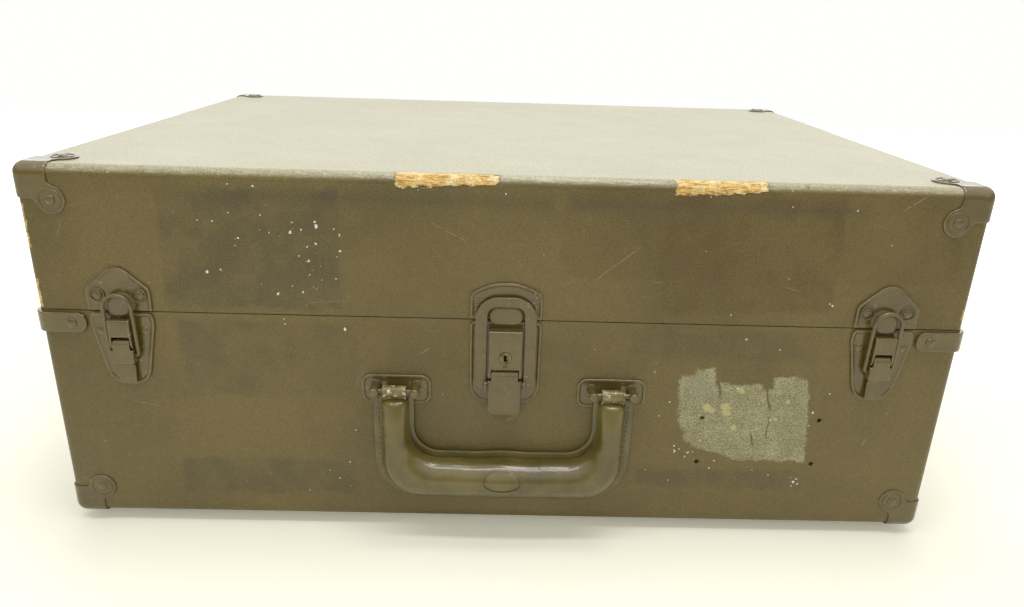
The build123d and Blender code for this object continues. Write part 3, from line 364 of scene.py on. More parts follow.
def layChips(f, colour):
    # edges chipped down to the wood, frayed, dented and rubbed
    c = covering
    edge = edgeDistance(f)

    def alongEdge(reach, soft):
        return f.between(f.math("SUBTRACT", reach, edge), 0.0, soft)

    def behindFront(depth, low, high):
        return f.between(f.math("SUBTRACT", case["frontY"] + depth, f.y), low, high)

    depths = []
    for x, half, z, halfZ in frontMarks["topChips"]:
        taper = f.product(f.math("SUBTRACT", f.x, x), -0.055)
        splinters = f.noise(1.0, 4.0, 0.65, f.stretched(260.0, 260.0, 900.0))
        inside = f.math("MINIMUM", f.within(f.x, x, half), f.math("ADD", f.within(f.z, z, halfZ), taper))
        depths.append(f.math("ADD", inside, f.product(f.math("SUBTRACT", splinters, 0.5), 0.0075)))
    depth = f.largest(*depths)
    nearFront = behindFront(0.0050, -0.0008, 0.0002)
    tornTop = f.product(f.between(depth, 0.0, 0.0004), nearFront)
    tornRim = f.product(f.between(depth, -0.0010, -0.0002), nearFront)
    corners = []
    for x, z, halfZ in frontMarks["cornerChips"]:
        corners.append(f.block(x, z, 0.0050, halfZ, 0.0008, f.ragged(0.006, 150.0)))
    torn = f.largest(tornTop, f.product(f.largest(*corners), behindFront(0.0065, 0.0, 0.001)))
    little = f.product(
        f.between(f.noise(95.0, 5.0, 0.65), 0.640, 0.655),
        alongEdge(0.0028, 0.0006),
        f.between(f.z, case["partingZ"] + 0.004, case["partingZ"] + 0.006),
    )
    fibres = f.noise(1.0, 4.0, 0.65, f.stretched(150.0, 900.0, 1500.0))
    wood = f.blend(f.between(fibres, 0.38, 0.58), c["woodDark"], c["wood"])
    wood = f.blend(f.product(f.between(f.noise(130.0, 3.0), 0.45, 0.65), 0.6), wood, c["woodPale"])
    fray = f.product(
        f.between(f.noise(1.0, 4.0, 0.7, f.stretched(110.0, 420.0, 900.0)), 0.50, 0.60),
        alongEdge(0.0040, 0.0015),
        f.between(f.z, case["topZ"] - 0.007, case["topZ"] - 0.004),
    )
    dent = f.product(
        f.between(f.noise(210.0, 4.0, 0.7), 0.60, 0.64),
        alongEdge(0.0030, 0.0010),
        f.between(f.z, case["topZ"] - 0.006, case["topZ"] - 0.004),
    )
    rubbed = f.product(alongEdge(0.0035, 0.003), f.between(f.noise(60.0, 4.0, 0.7), 0.40, 0.62))
    colour = f.blend(f.product(fray, 0.50), colour, c["fray"])
    colour = f.blend(f.product(dent, 0.80), colour, c["oliveDark"])
    colour = f.blend(f.product(tornRim, 0.70), colour, c["oliveDark"])
    colour = f.blend(f.product(rubbed, 0.35), colour, c["olivePale"])
    colour = f.blend(f.product(little, 0.8), colour, c["scratch"])
    return f.blend(torn, colour, wood), torn, little


def makeCovering():
    f = Finish("casePaint")
    c = covering
    onFront = f.between(f.math("SUBTRACT", case["frontY"] + c["frontSkin"], f.y), 0.0, 0.001)
    onTop = f.between(f.z, case["topZ"] - 0.005, case["topZ"] - 0.0005)
    # broad and fine unevenness of the paint
    broad = f.noise(9.0, 4.0, 0.6)
    fine = f.noise(170.0, 4.0, 0.7)
    grain = f.noise(1.0, 2.0, 0.6, f.stretched(900.0, 900.0, 1300.0))
    thread = f.noise(1.0, 1.0, 0.5, f.stretched(420.0, 420.0, 2600.0))
    colour = f.blend(f.between(broad, 0.34, 0.66), c["oliveDark"], c["olive"])
    colour = f.blend(0.55, colour, c["olive"])
    colour = f.blend(f.product(f.between(fine, 0.50, 0.72), 0.16), colour, c["olivePale"])
    lower = f.between(f.math("SUBTRACT", case["partingZ"], f.z), 0.0, 0.14)
    colour = f.blend(f.product(lower, 0.12), colour, c["olivePale"])
    colour = layStains(f, colour, onFront)
    colour, scuffed = layPatch(f, colour, onFront)
    # faded, dusty top; its pale colour is also a painted sheen
    cloud = f.between(f.noise(14.0, 4.0, 0.6), 0.25, 0.75)
    dustAndSheen = f.product(onTop, f.math("ADD", f.product(cloud, 0.12), 0.80))
    colour = f.blend(dustAndSheen, colour, c["topDustAndSheen"])
    colour, scratch = layScratches(f, colour, onFront)
    colour, specks = laySpatter(f, colour, onFront)
    colour, torn, little = layChips(f, colour)
    threadTone = f.product(f.between(thread, 0.35, 0.65), 0.12)
    grainTone = f.math("ADD", f.product(f.between(grain, 0.30, 0.70), 0.40), threadTone)
    colour = f.tinted(colour, f.math("ADD", grainTone, 0.74))

    # dull on the pale rectangle, in the drops and on the wood
    rough = f.math("ADD", 0.28, f.product(f.noise(30.0, 3.0), 0.16))
    rough = f.math("ADD", rough, f.product(f.largest(torn, specks, scuffed), 0.35), clamp=True)
    weave = f.noise(1.0, 2.0, 0.6, f.stretched(650.0, 650.0, 650.0))
    fibre = f.noise(1.0, 3.0, 0.6, f.stretched(230.0, 800.0, 800.0))
    height = f.math("ADD", f.product(weave, 0.6), f.product(fibre, 0.6))
    height = f.math("ADD", height, f.product(f.noise(24.0, 2.0), 1.2))
    normal = f.relief(height, 0.00035, 0.75, f.softEdges(c["edgeRadius"]))
    marksHeight = f.math("SUBTRACT", 1.0, f.largest(torn, f.product(scratch, 0.3), f.product(little, 0.5)))
    normal = f.relief(marksHeight, 0.0006, 0.8, normal)
    gloss = {"Coat Weight": 0.10, "Coat Roughness": 0.30, "Specular IOR Level": 0.40}
    return f.finish(colour, rough, normal, **gloss)


paintNode(
    makeCovering(),
    "lid_top", "lid_front", "lid_back", "lid_left", "lid_right",
    "base_bottom", "base_front", "base_back", "base_left", "base_right",
)
print("stage: covering")


# Paint over the metal fittings
fitting = {
    "olive": rgb(0.138, 0.098, 0.022),
    "oliveDark": rgb(0.052, 0.037, 0.009),
    "olivePale": rgb(0.290, 0.240, 0.110),
    "cream": rgb(0.720, 0.690, 0.500),
    "slotShade": rgb(0.006, 0.005, 0.003),
    "leather": rgb(0.156, 0.120, 0.024),
    "leatherDark": rgb(0.098, 0.074, 0.015),
    "gloss": 0.10,
    "wear": 0.5,
    "edgeRadius": 0.0006,
}


def makeHardwarePaint(name, rubbedEdges=False, marks=()):
    f = Finish(name)
    c = fitting
    broad = f.noise(60.0, 4.0, 0.6)
    colour = f.blend(f.between(broad, 0.3, 0.7), c["oliveDark"], c["olive"])
    colour = f.blend(0.6, colour, c["olive"])
    fine = f.noise(700.0, 3.0, 0.7)
    colour = f.blend(f.product(f.between(fine, 0.55, 0.8), 0.4), colour, c["olivePale"])
    # painted shade and grime: the coats darken in crevices as far as ambient occlusion finds nearby surfaces
    shadeAndGrime = f.add("ShaderNodeAmbientOcclusion", samples=8, only_local=False)
    f.feed(shadeAndGrime.inputs["Distance"], 0.004)
    shade = f.math("SUBTRACT", 1.0, shadeAndGrime.outputs["AO"])
    colour = f.blend(f.product(f.between(shade, 0.2, 0.9), 0.70), colour, c["oliveDark"])
    worn = f.product(f.between(f.noise(240.0, 4.0, 0.7), 0.64, 0.67), c["wear"])
    colour = f.blend(worn, colour, c["olivePale"])
    if rubbedEdges:  # coats are rubbed thin along the raised edges of the fine meshes
        sharp = f.add("ShaderNodeNewGeometry").outputs["Pointiness"]
        ridge = f.product(f.between(sharp, 0.510, 0.560), f.between(f.noise(200.0, 3.0), 0.30, 0.60))
        colour = f.blend(f.product(ridge, 0.55), colour, c["olivePale"])
        rubbed = f.product(f.between(sharp, 0.530, 0.580), f.between(f.noise(420.0, 4.0, 0.7), 0.52, 0.58))
        colour = f.blend(f.product(rubbed, 0.8), colour, c["cream"])
    # painted shade: near-black marks stand for the dark inside of a slot
    for x, z, halfX, halfZ in marks:
        colour = f.blend(f.block(x, z, halfX, halfZ, 0.0003, 0.0), colour, c["slotShade"])
    rough = f.math("ADD", c["gloss"], f.product(f.noise(180.0, 3.0), 0.18))
    height = f.math("ADD", f.noise(260.0, 3.0, 0.6), f.product(f.noise(60.0, 2.0), 2.0))
    normal = f.relief(height, 0.00025, 0.6, f.softEdges(c["edgeRadius"]))
    return f.finish(colour, rough, normal, **{"Coat Weight": 0.7, "Coat Roughness": 0.09})


plugLow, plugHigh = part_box("lock_plug")
plugX, plugZ = (plugLow[0] + plugHigh[0]) / 2, (plugLow[2] + plugHigh[2]) / 2
# painted shade of the slot below the plug
slotShadeUnderPlug = (plugX, plugZ - 0.0056, 0.0016, 0.0006)
hardwarePaint = makeHardwarePaint("hardwarePaint")
coatedPaint = makeHardwarePaint("coatedPaint", rubbedEdges=True)
lockCasePaint = makeHardwarePaint("lockCasePaint", rubbedEdges=True, marks=(slotShadeUnderPlug,))
paintNode(lockCasePaint, "lock_case")
paintNode(
    hardwarePaint,
    "lid_corner_caps", "base_corner_caps", "lid_cap_rivets", "base_cap_rivets", "corner_straps",
    "strap_rivets", "latch_keeper_left", "latch_keeper_right", "latch_base_left", "latch_base_right",
    "latch_lever_left", "latch_lever_right", "latch_bail_left", "latch_bail_right",
    "latch_pins", "latch_rivets", "keeper_rivets", "lock_keeper",
    "lock_base", "lock_pin", "lock_lever", "lock_link", "link_pin",
    "handle_bracket_left", "handle_bracket_right", "handle_pins",
    "hinge_leaves_lid", "hinge_leaves_base", "hinge_pins", "hinge_rivets_lid", "hinge_rivets_base", "feet",
)


metals = {
    "steel": rgb(0.50, 0.49, 0.45),
    "steelDark": rgb(0.30, 0.28, 0.24),
    "steelRough": 0.35,
    "brass": rgb(0.30, 0.25, 0.13),
    "brassDark": rgb(0.12, 0.10, 0.05),
    "brassRough": 0.38,
    "keywayShade": rgb(0.008, 0.006, 0.004),
}


def makeMetal(name, tone, dark, roughness, marks=()):
    f = Finish(name)
    colour = f.blend(f.between(f.noise(160.0, 4.0, 0.6), 0.35, 0.65), dark, tone)
    # painted shade: near-black marks stand for the dark inside of the keyway
    for x, z, halfX, halfZ in marks:
        colour = f.blend(f.block(x, z, halfX, halfZ, 0.0002, 0.0), colour, metals["keywayShade"])
    brushed = f.noise(1.0, 3.0, 0.6, f.stretched(300.0, 2600.0, 2600.0))
    rough = f.math("ADD", roughness, f.product(brushed, 0.15))
    normal = f.relief(brushed, 0.00005, 0.5)
    return f.finish(colour, rough, normal, metallic=1.0)


platedSteel = makeMetal("platedSteel", metals["steel"], metals["steelDark"], metals["steelRough"])
# painted shade of the keyway on the plug's face
keywayShade = (
    (plugX + 0.0003, plugZ + 0.0011, 0.0011, 0.0007),
    (plugX - 0.0004, plugZ + 0.0001, 0.0006, 0.0015),
    (plugX + 0.0005, plugZ - 0.0010, 0.0010, 0.0006),
)
brass = makeMetal("wornBrass", metals["brass"], metals["brassDark"], metals["brassRough"], keywayShade)


def makeLoopPaint():
    f = Finish("loopPaint")
    c = fitting
    frayed = f.between(f.noise(330.0, 4.0, 0.7), 0.57, 0.60)
    colour = f.blend(f.between(f.noise(90.0, 3.0), 0.3, 0.7), c["olive"], c["olivePale"])
    colour = f.blend(f.product(frayed, 0.85), colour, c["cream"])
    height = f.math("SUBTRACT", f.noise(300.0, 3.0), f.product(frayed, 0.8))
    rough = f.math("ADD", 0.22, f.product(frayed, 0.3))
    return f.finish(colour, rough, f.relief(height, 0.0003, 0.6, f.softEdges(0.0005)))


paintNode(makeLoopPaint(), "handle_loops")
paintNode(
    platedSteel,
    "stay_studs_base", "stay_studs_lid",
    "stay_lower_bar_left", "stay_lower_bar_right", "stay_upper_bar_left", "stay_upper_bar_right",
)
paintNode(brass, "lock_plug")


# Varnished plywood inside, and felt
plywood = {"pale": rgb(0.40, 0.255, 0.120), "dark": rgb(0.25, 0.145, 0.060), "pore": rgb(0.16, 0.090, 0.040)}
felt = {"pale": rgb(0.075, 0.105, 0.060), "dark": rgb(0.030, 0.050, 0.026), "dusty": rgb(0.095, 0.115, 0.070)}


def makeInsideWood():
    f = Finish("insideWood")
    rings = f.noise(1.0, 4.0, 0.6, f.stretched(6.0, 6.0, 90.0), 0.8)
    pores = f.noise(1.0, 3.0, 0.6, f.stretched(60.0, 60.0, 900.0))
    colour = f.blend(f.between(rings, 0.3, 0.7), plywood["dark"], plywood["pale"])
    colour = f.blend(f.product(f.between(pores, 0.55, 0.7), 0.5), colour, plywood["pore"])
    normal = f.relief(pores, 0.0001, 0.5)
    return f.finish(colour, f.math("ADD", 0.32, f.product(rings, 0.2)), normal)


def makeFelt():
    f = Finish("greenFelt")
    tuft = f.noise(900.0, 4.0, 0.75)
    cloud = f.noise(25.0, 3.0)
    colour = f.blend(f.between(tuft, 0.3, 0.7), felt["dark"], felt["pale"])
    colour = f.blend(f.product(f.between(cloud, 0.4, 0.7), 0.4), colour, felt["dusty"])
    normal = f.relief(tuft, 0.0006, 0.8)
    return f.finish(colour, 0.95, normal, **{"Sheen Weight": 0.6, "Sheen Roughness": 0.5})


paintNode(makeInsideWood(), "divider_long", "divider_cross", "rim_lip")
feltFinish = makeFelt()


# Mesh helpers
quarterTurn = Matrix.Rotation(math.radians(90.0), 4, "X")


def newPiece(form, name, material, smooth=True):
    bmesh.ops.remove_doubles(form, verts=form.verts, dist=0.000001)
    bmesh.ops.recalc_face_normals(form, faces=form.faces)
    mesh = bpy.data.meshes.new(name)
    form.to_mesh(mesh)
    form.free()
    for face in mesh.polygons:
        face.use_smooth = smooth
    piece = bpy.data.objects.new(name, mesh)
    bpy.context.scene.collection.objects.link(piece)
    mesh.materials.append(material)
    return piece


def rising(axis, place):
    # matrix that stands a shape made along +Z on a face whose outward normal is axis
    turn = Vector(axis).to_track_quat("Z", "X" if abs(axis[2]) > 0.5 else "Y").to_matrix().to_4x4()
    return Matrix.Translation(place) @ turn


# Felt on the floors of the three bays and the felt pad in the lid
pads = {
    "floorPads": {
        "body": "base", "node": "floor_felt", "fill": 0.4, "low": 0.0135, "high": 0.0160, "faceUp": True,
        "round": 0.0030, "pull": 0.0005, "uneven": 0.00035, "segments": 56,
        "areas": (  # left, right, front, back
            (-0.270, 0.065, -0.18455, 0.20145),
            (0.075, 0.270, -0.18455, 0.005),
            (0.075, 0.270, 0.015, 0.20145),
        ),
    },
    "lidPadding": {
        "body": "lid", "node": "lid_pad", "fill": 0.6, "low": 0.2245, "high": 0.2305, "faceUp": False,
        "round": 0.0140, "pull": 0.0018, "uneven": 0.00070, "segments": 72,
        "areas": ((-0.248, 0.248, -0.16255, 0.17945),),
    },
}


padding = {
    "rim": 0.15,  # part of the thickness that the flat edge keeps
    "rise": 0.62,
    "crown": 0.20,
    "crowding": 0.14,  # draws the grid's lines towards the edges
    "bumps": 30.0,
}


def makePads(name, values):
    form = bmesh.new()
    thick = values["high"] - values["low"]
    for left, right, front, back in values["areas"]:
        for soft in (True, False):
            segments = values["segments"]
            made = bmesh.ops.create_grid(form, x_segments=segments, y_segments=segments, size=0.5)
            for vert in made["verts"]:
                u, v = (
                    part + 0.5 - padding["crowding"] * math.sin(2 * math.pi * (part + 0.5))
                    for part in vert.co.xy
                )
                x = left + (right - left) * u
                y = front + (back - front) * v
                inward = min(x - left, right - x, y - front, back - y)
                rise = math.sqrt(max(0.0, 1.0 - (1.0 - min(inward / values["round"], 1.0)) ** 2))
                height = padding["rim"]
                if soft:
                    crown = padding["crown"] * math.sin(math.pi * u) * math.sin(math.pi * v)
                    height += rise * (padding["rise"] + crown)
                elif inward > 0.00001:
                    height = 0.0
                bump = noise.noise(Vector((x, y, 0.3)) * padding["bumps"])
                rise *= values["uneven"] * bump if soft else 0.0
                pullX = values["pull"] * (1.0 - (2.0 * v - 1.0) ** 2) * (1.0 - 2.0 * u)
                pullY = values["pull"] * (1.0 - (2.0 * u - 1.0) ** 2) * (1.0 - 2.0 * v)
                lift = thick * height + rise
                z = values["low"] + lift if values["faceUp"] else values["high"] - lift
                vert.co = (x + pullX, y + pullY, z)
    piece = newPiece(form, name, feltFinish)
    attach(piece, values["body"])
    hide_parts(values["node"])


for padName, values in pads.items():
    makePads(padName, values)


# Drops of white paint on the front: x, z, radius in mm
splashes = {
    "lid": (
        (-0.1109, 0.2054, 1.15), (-0.1116, 0.2078, 0.79), (-0.1261, 0.2011, 0.94), (-0.1163, 0.1842, 0.72),
        (-0.1359, 0.1632, 0.79), (-0.1764, 0.1758, 0.86), (-0.1563, 0.1970, 0.65), (-0.0979, 0.1908, 0.86),
        (-0.0977, 0.2004, 0.58), (-0.1011, 0.1735, 0.50), (-0.1210, 0.1648, 0.65), (-0.1425, 0.2110, 0.54),
        (-0.1453, 0.2277, 0.65), (-0.1595, 0.2285, 0.47), (-0.1606, 0.2120, 0.50), (-0.1702, 0.2068, 0.50),
        (-0.1787, 0.2071, 0.47), (-0.1219, 0.1871, 0.50), (-0.1246, 0.2071, 0.40), (-0.1197, 0.2028, 0.54),
        (-0.1382, 0.2008, 0.36), (-0.1116, 0.1946, 0.65), (-0.1684, 0.1776, 0.50), (-0.1585, 0.1925, 0.40),
        (-0.1165, 0.1756, 0.40), (-0.1270, 0.1684, 0.40), (-0.1169, 0.1927, 0.40), (-0.1007, 0.2039, 0.43),
        (-0.0998, 0.1871, 0.36), (-0.1094, 0.1726, 0.32), (0.1963, 0.1641, 0.79), (0.1945, 0.1653, 0.47),
        (0.1357, 0.1567, 0.54), (0.1628, 0.2240, 0.47), (0.2007, 0.2226, 0.54), (0.1149, 0.2285, 0.43),
        (0.2245, 0.2026, 0.36), (0.1673, 0.1805, 0.36), (-0.0520, 0.2280, 0.36), (-0.0021, 0.2270, 0.40),
    ),
    "base": (
        (-0.0973, 0.1416, 0.94), (-0.1336, 0.1472, 0.43), (-0.1332, 0.1440, 0.43), (0.1474, 0.1410, 0.58),
        (0.1689, 0.1344, 0.43), (0.1964, 0.0914, 0.72), (0.1954, 0.0821, 0.43), (0.1106, 0.0655, 0.72),
        (0.1113, 0.0616, 0.79), (0.1199, 0.0606, 0.79), (0.1183, 0.0576, 0.58), (0.1231, 0.0611, 0.47),
        (0.1141, 0.0631, 0.43), (0.1378, 0.0550, 0.58), (0.1352, 0.0494, 0.65), (0.1920, 0.0400, 0.94),
        (0.1936, 0.0423, 0.79), (0.1912, 0.0369, 0.58), (0.1949, 0.0385, 0.54), (0.1747, 0.0449, 0.43),
        (0.1046, 0.0970, 0.50), (0.0988, 0.0869, 0.40), (0.2049, 0.1052, 0.47), (0.1700, 0.0857, 0.58),
        (0.1465, 0.1074, 0.58), (-0.0984, 0.0485, 0.58), (-0.1055, 0.0362, 0.40), (-0.0935, 0.0722, 0.43),
        (-0.1116, 0.0422, 0.36), (0.0935, 0.0469, 0.36), (0.0933, 0.1176, 0.40), (0.1269, 0.0701, 0.36),
        (0.1636, 0.0485, 0.36), (0.1093, 0.0396, 0.47), (-0.1256, 0.0266, 0.36),
    ),
}


drop = {
    "seed": 7,
    "thickness": 0.00014,
    "jitter": 0.16,
    "pale": rgb(0.86, 0.85, 0.78),
    "dull": rgb(0.62, 0.60, 0.50),
}


def makeSplashes(body, spots):
    chance = random.Random(drop["seed"])
    form = bmesh.new()
    for x, z, radius in spots:
        for lobe in range(chance.choice((1, 2, 3))):
            size = radius * 0.001 * (1.0 if lobe == 0 else chance.uniform(0.35, 0.7))
            offX = 0.0 if lobe == 0 else chance.uniform(-1.0, 1.0) * radius * 0.001
            offZ = 0.0 if lobe == 0 else chance.uniform(-1.3, 1.3) * radius * 0.001
            shape = Matrix.Translation((x + offX, case["frontY"], z + offZ))
            shape = shape @ Matrix.Rotation(chance.uniform(0.0, 3.0), 4, "Y")
            shape = shape @ Matrix.Diagonal((size * chance.uniform(0.6, 1.0), drop["thickness"], size, 1.0))
            made = bmesh.ops.create_icosphere(form, subdivisions=2, radius=1.0, matrix=shape)
            for vert in made["verts"]:
                vert.co.x += chance.uniform(-drop["jitter"], drop["jitter"]) * size
                vert.co.z += chance.uniform(-drop["jitter"], drop["jitter"]) * size
    piece = newPiece(form, body + "Splashes", splashPaint)
    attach(piece, body)


def makeSplashPaint():
    f = Finish("splashPaint")
    colour = f.blend(f.noise(900.0, 2.0), drop["dull"], drop["pale"])
    return f.finish(colour, 0.45, f.relief(f.noise(1500.0, 2.0), 0.0001, 0.5))


splashPaint = makeSplashPaint()
for bodyName, spots in splashes.items():
    makeSplashes(bodyName, spots)


# Rings pressed round the rivets of the corner caps and the keepers
capRing = {"inset": 0.020, "lift": 0.0011, "radius": 0.0062, "tube": 0.00050, "sides": 10, "steps": 40}
keeperRing = {"radius": 0.0042, "tube": 0.00045, "sink": 0.0009, "sides": 8, "steps": 32}


def addRing(form, ring, axis, place):
    section = bmesh.ops.create_circle(
        form, segments=ring["sides"], radius=ring["tube"],
        matrix=Matrix.Translation((ring["radius"], 0.0, 0.0)) @ quarterTurn,
    )
    edges = {edge for vert in section["verts"] for edge in vert.link_edges}
    bmesh.ops.spin(
        form, geom=section["verts"] + list(edges), cent=(0, 0, 0), axis=(0, 0, 1),
        angle=math.radians(360.0), steps=ring["steps"], use_merge=True,
    )
    whole = [vert for vert in form.verts if not vert.tag]
    bmesh.ops.transform(form, matrix=rising(axis, place), verts=whole)
    for vert in whole:
        vert.tag = True


def makeCapRings(body, z, upright):
    form = bmesh.new()
    inset = capRing["inset"]
    nearZ = z - upright * inset
    places = []
    for sideX in (-1, 1):
        x = sideX * (case["halfWidth"] - inset)
        for y in (case["frontY"] + inset, case["backY"] - inset):
            places.append(((x, y, z), (0, 0, upright)))
        for y, outward in ((case["frontY"], -1), (case["backY"], 1)):
            places.append(((x, y, nearZ), (0, outward, 0)))
            places.append(((sideX * case["halfWidth"], y - outward * inset, nearZ), (sideX, 0, 0)))
    for place, axis in places:
        addRing(form, capRing, axis, Vector(place) + Vector(axis) * capRing["lift"])
    piece = newPiece(form, body + "CapRings", hardwarePaint)
    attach(piece, body)


def rivetPlaces(name):
    # lowest y and the middle of each rivet's own mesh
    form = bmesh.new()
    form.from_mesh(nodes[name].data)
    bmesh.ops.remove_doubles(form, verts=form.verts, dist=0.000002)
    left = set(form.verts)
    places = []
    while left:
        waiting = [left.pop()]
        island = []
        while waiting:
            vert = waiting.pop()
            island.append(vert.co.copy())
            near = {edge.other_vert(vert) for edge in vert.link_edges} & left
            left -= near
            waiting.extend(near)
        x, z = ((min(co[axis] for co in island) + max(co[axis] for co in island)) / 2 for axis in (0, 2))
        places.append((x, min(co.y for co in island), z))
    form.free()
    return sorted(places)


def makeKeeperRings():
    form = bmesh.new()
    for place in rivetPlaces("keeper_rivets"):
        addRing(form, keeperRing, (0, -1, 0), Vector(place) + Vector((0.0, keeperRing["sink"], 0.0)))
    piece = newPiece(form, "keeperRings", hardwarePaint)
    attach(piece, "lid")


makeKeeperRings()
makeCapRings("lid", case["topZ"], 1)
makeCapRings("base", case["bottomZ"], -1)
print("stage: drops and rings")


# Handle
def makeGripPaint():
    f = Finish("gripPaint")
    c = fitting
    colour = f.blend(f.between(f.noise(50.0, 4.0, 0.6), 0.3, 0.7), c["leatherDark"], c["leather"])
    crack = f.between(f.cells(330.0, "DISTANCE_TO_EDGE").outputs["Distance"], 0.0, 0.06)
    flaw = f.between(f.noise(85.0, 4.0, 0.7), 0.66, 0.69)
    colour = f.blend(f.product(flaw, 0.6), colour, c["olivePale"])
    rough = f.math("ADD", 0.14, f.product(f.noise(90.0, 3.0), 0.14))
    height = f.math("ADD", f.product(f.noise(110.0, 3.0, 0.55), 1.0), f.product(crack, 0.12))
    normal = f.relief(height, 0.0006, 0.5)
    return f.finish(colour, rough, normal, **{"Coat Weight": 0.6, "Coat Roughness": 0.14})


gripPaint = makeGripPaint()
grip = {
    "skin": 0.0008,
    "legOut": 0.0757,
    "legIn": 0.0586,
    "topZ": 0.1008,
    "outerBend": (0.0507, 0.0586, 0.0250),  # centre x, z and radius
    "innerBend": (0.0400, 0.0762, 0.0180),
    "depths": (0.0125, 0.0185, 0.0193),  # leg's top, bend, middle
    "flat": 0.55,
    "back": 0.0022,
    "flangeOut": 0.0056,
    "flangeIn": 0.0030,
    "flangeHalf": 0.0010,
    "wave": 0.0007,
    "padZ": 0.0490,
    "padCrown": (0.0112, 0.0007, 0.0058),
    "padRim": (0.0122, 0.0100, 0.0068),
    "flare": (0.5, 0.045),  # how much wider the flange gets, over this height
    "stitchEvery": 0.0034,
    "stitchInset": 0.42,
    "threadLift": 0.0003,
    "stitch": (0.00125, 0.00045, 0.00042),
}


def gripStations():
    # outer point, inner point and depth from the left leg's top to the right leg's
    outX, outZ, outRadius = grip["outerBend"]
    inX, inZ, inRadius = grip["innerBend"]
    leg, bend, middle = grip["depths"]
    stations = []
    for step in range(9):
        share = step / 9
        outer = (-grip["legOut"], grip["topZ"] + (outZ - grip["topZ"]) * share)
        innerX = -grip["legIn"] + (grip["legIn"] - inX - inRadius) * share
        inner = (innerX, grip["topZ"] + (inZ - grip["topZ"]) * share)
        stations.append((*outer, *inner, leg + (bend - leg) * math.sin(share * math.pi / 2)))
    for step in range(12):
        angle = math.radians(90.0 * step / 12)
        outer = (-outX - outRadius * math.cos(angle), outZ - outRadius * math.sin(angle))
        inner = (-inX - inRadius * math.cos(angle), inZ - inRadius * math.sin(angle))
        stations.append((*outer, *inner, bend))
    for step in range(11):
        share = step / 10
        rise = grip["wave"] * share * math.cos(share * math.pi * 2)
        low = (-outX * (1 - share), outZ - outRadius)
        high = (-inX * (1 - share), inZ - inRadius + rise)
        stations.append((*low, *high, bend + (middle - bend) * share))
    mirrored = [(-x, z, -innerX, innerZ, depth) for x, z, innerX, innerZ, depth in reversed(stations[:-1])]
    return stations + mirrored


def sweep(form, stations, sides, grow, thickness=None):
    # flattened circles across the path, each bridged to the next; grow widens them outwards and inwards
    loops = []
    wall = case["frontY"] - grip["back"]
    for x, z, innerX, innerZ, depth in stations:
        outer, inner = Vector((x, 0.0, z)), Vector((innerX, 0.0, innerZ))
        side = (inner - outer).normalized()
        flare, flareHeight = grip["flare"]
        outer -= side * grow[0] * (1.0 + flare * min(1.0, (grip["topZ"] - z) / flareHeight))
        inner += side * grow[1]
        half = thickness or depth / (1.0 + grip["flat"])
        centreY = wall - thickness if thickness else wall - grip["skin"] - half * grip["flat"]
        centre = (outer + inner) / 2 + Vector((0.0, centreY, 0.0))
        across = (inner - outer).length / 2
        axes = (side * across, Vector((0.0, half, 0.0)), Vector((side.z, 0.0, -side.x)))
        lay = Matrix.Translation(centre) @ Matrix(axes).transposed().to_4x4()
        made = bmesh.ops.create_circle(form, segments=sides, radius=1.0, matrix=lay)
        for vert in made["verts"]:
            vert.co.y = min(vert.co.y, centreY + half * grip["flat"])
        loops.append(made["verts"])
    for before, after in zip(loops, loops[1:]):
        edges = {edge for vert in before + after for edge in vert.link_edges if len(edge.link_faces) < 2}
        ring = [edge for edge in edges if (edge.verts[0] in before) == (edge.verts[1] in before)]
        bmesh.ops.bridge_loops(form, edges=ring)
    for end in (loops[0], loops[-1]):
        rim = [edge for edge in {edge for vert in end for edge in vert.link_edges} if edge.is_boundary]
        bmesh.ops.edgeloop_fill(form, edges=rim)


def fineStations(stations, parts):
    result = []
    for before, after in zip(stations, stations[1:]):
        for part in range(parts):
            share = part / parts
            result.append(tuple(a + (b - a) * share for a, b in zip(before, after)))
    return result


def gripSurface(piece, levels):
    rounding = piece.modifiers.new("rounding", "SUBSURF")
    rounding.levels = rounding.render_levels = levels
    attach(piece, "handle")


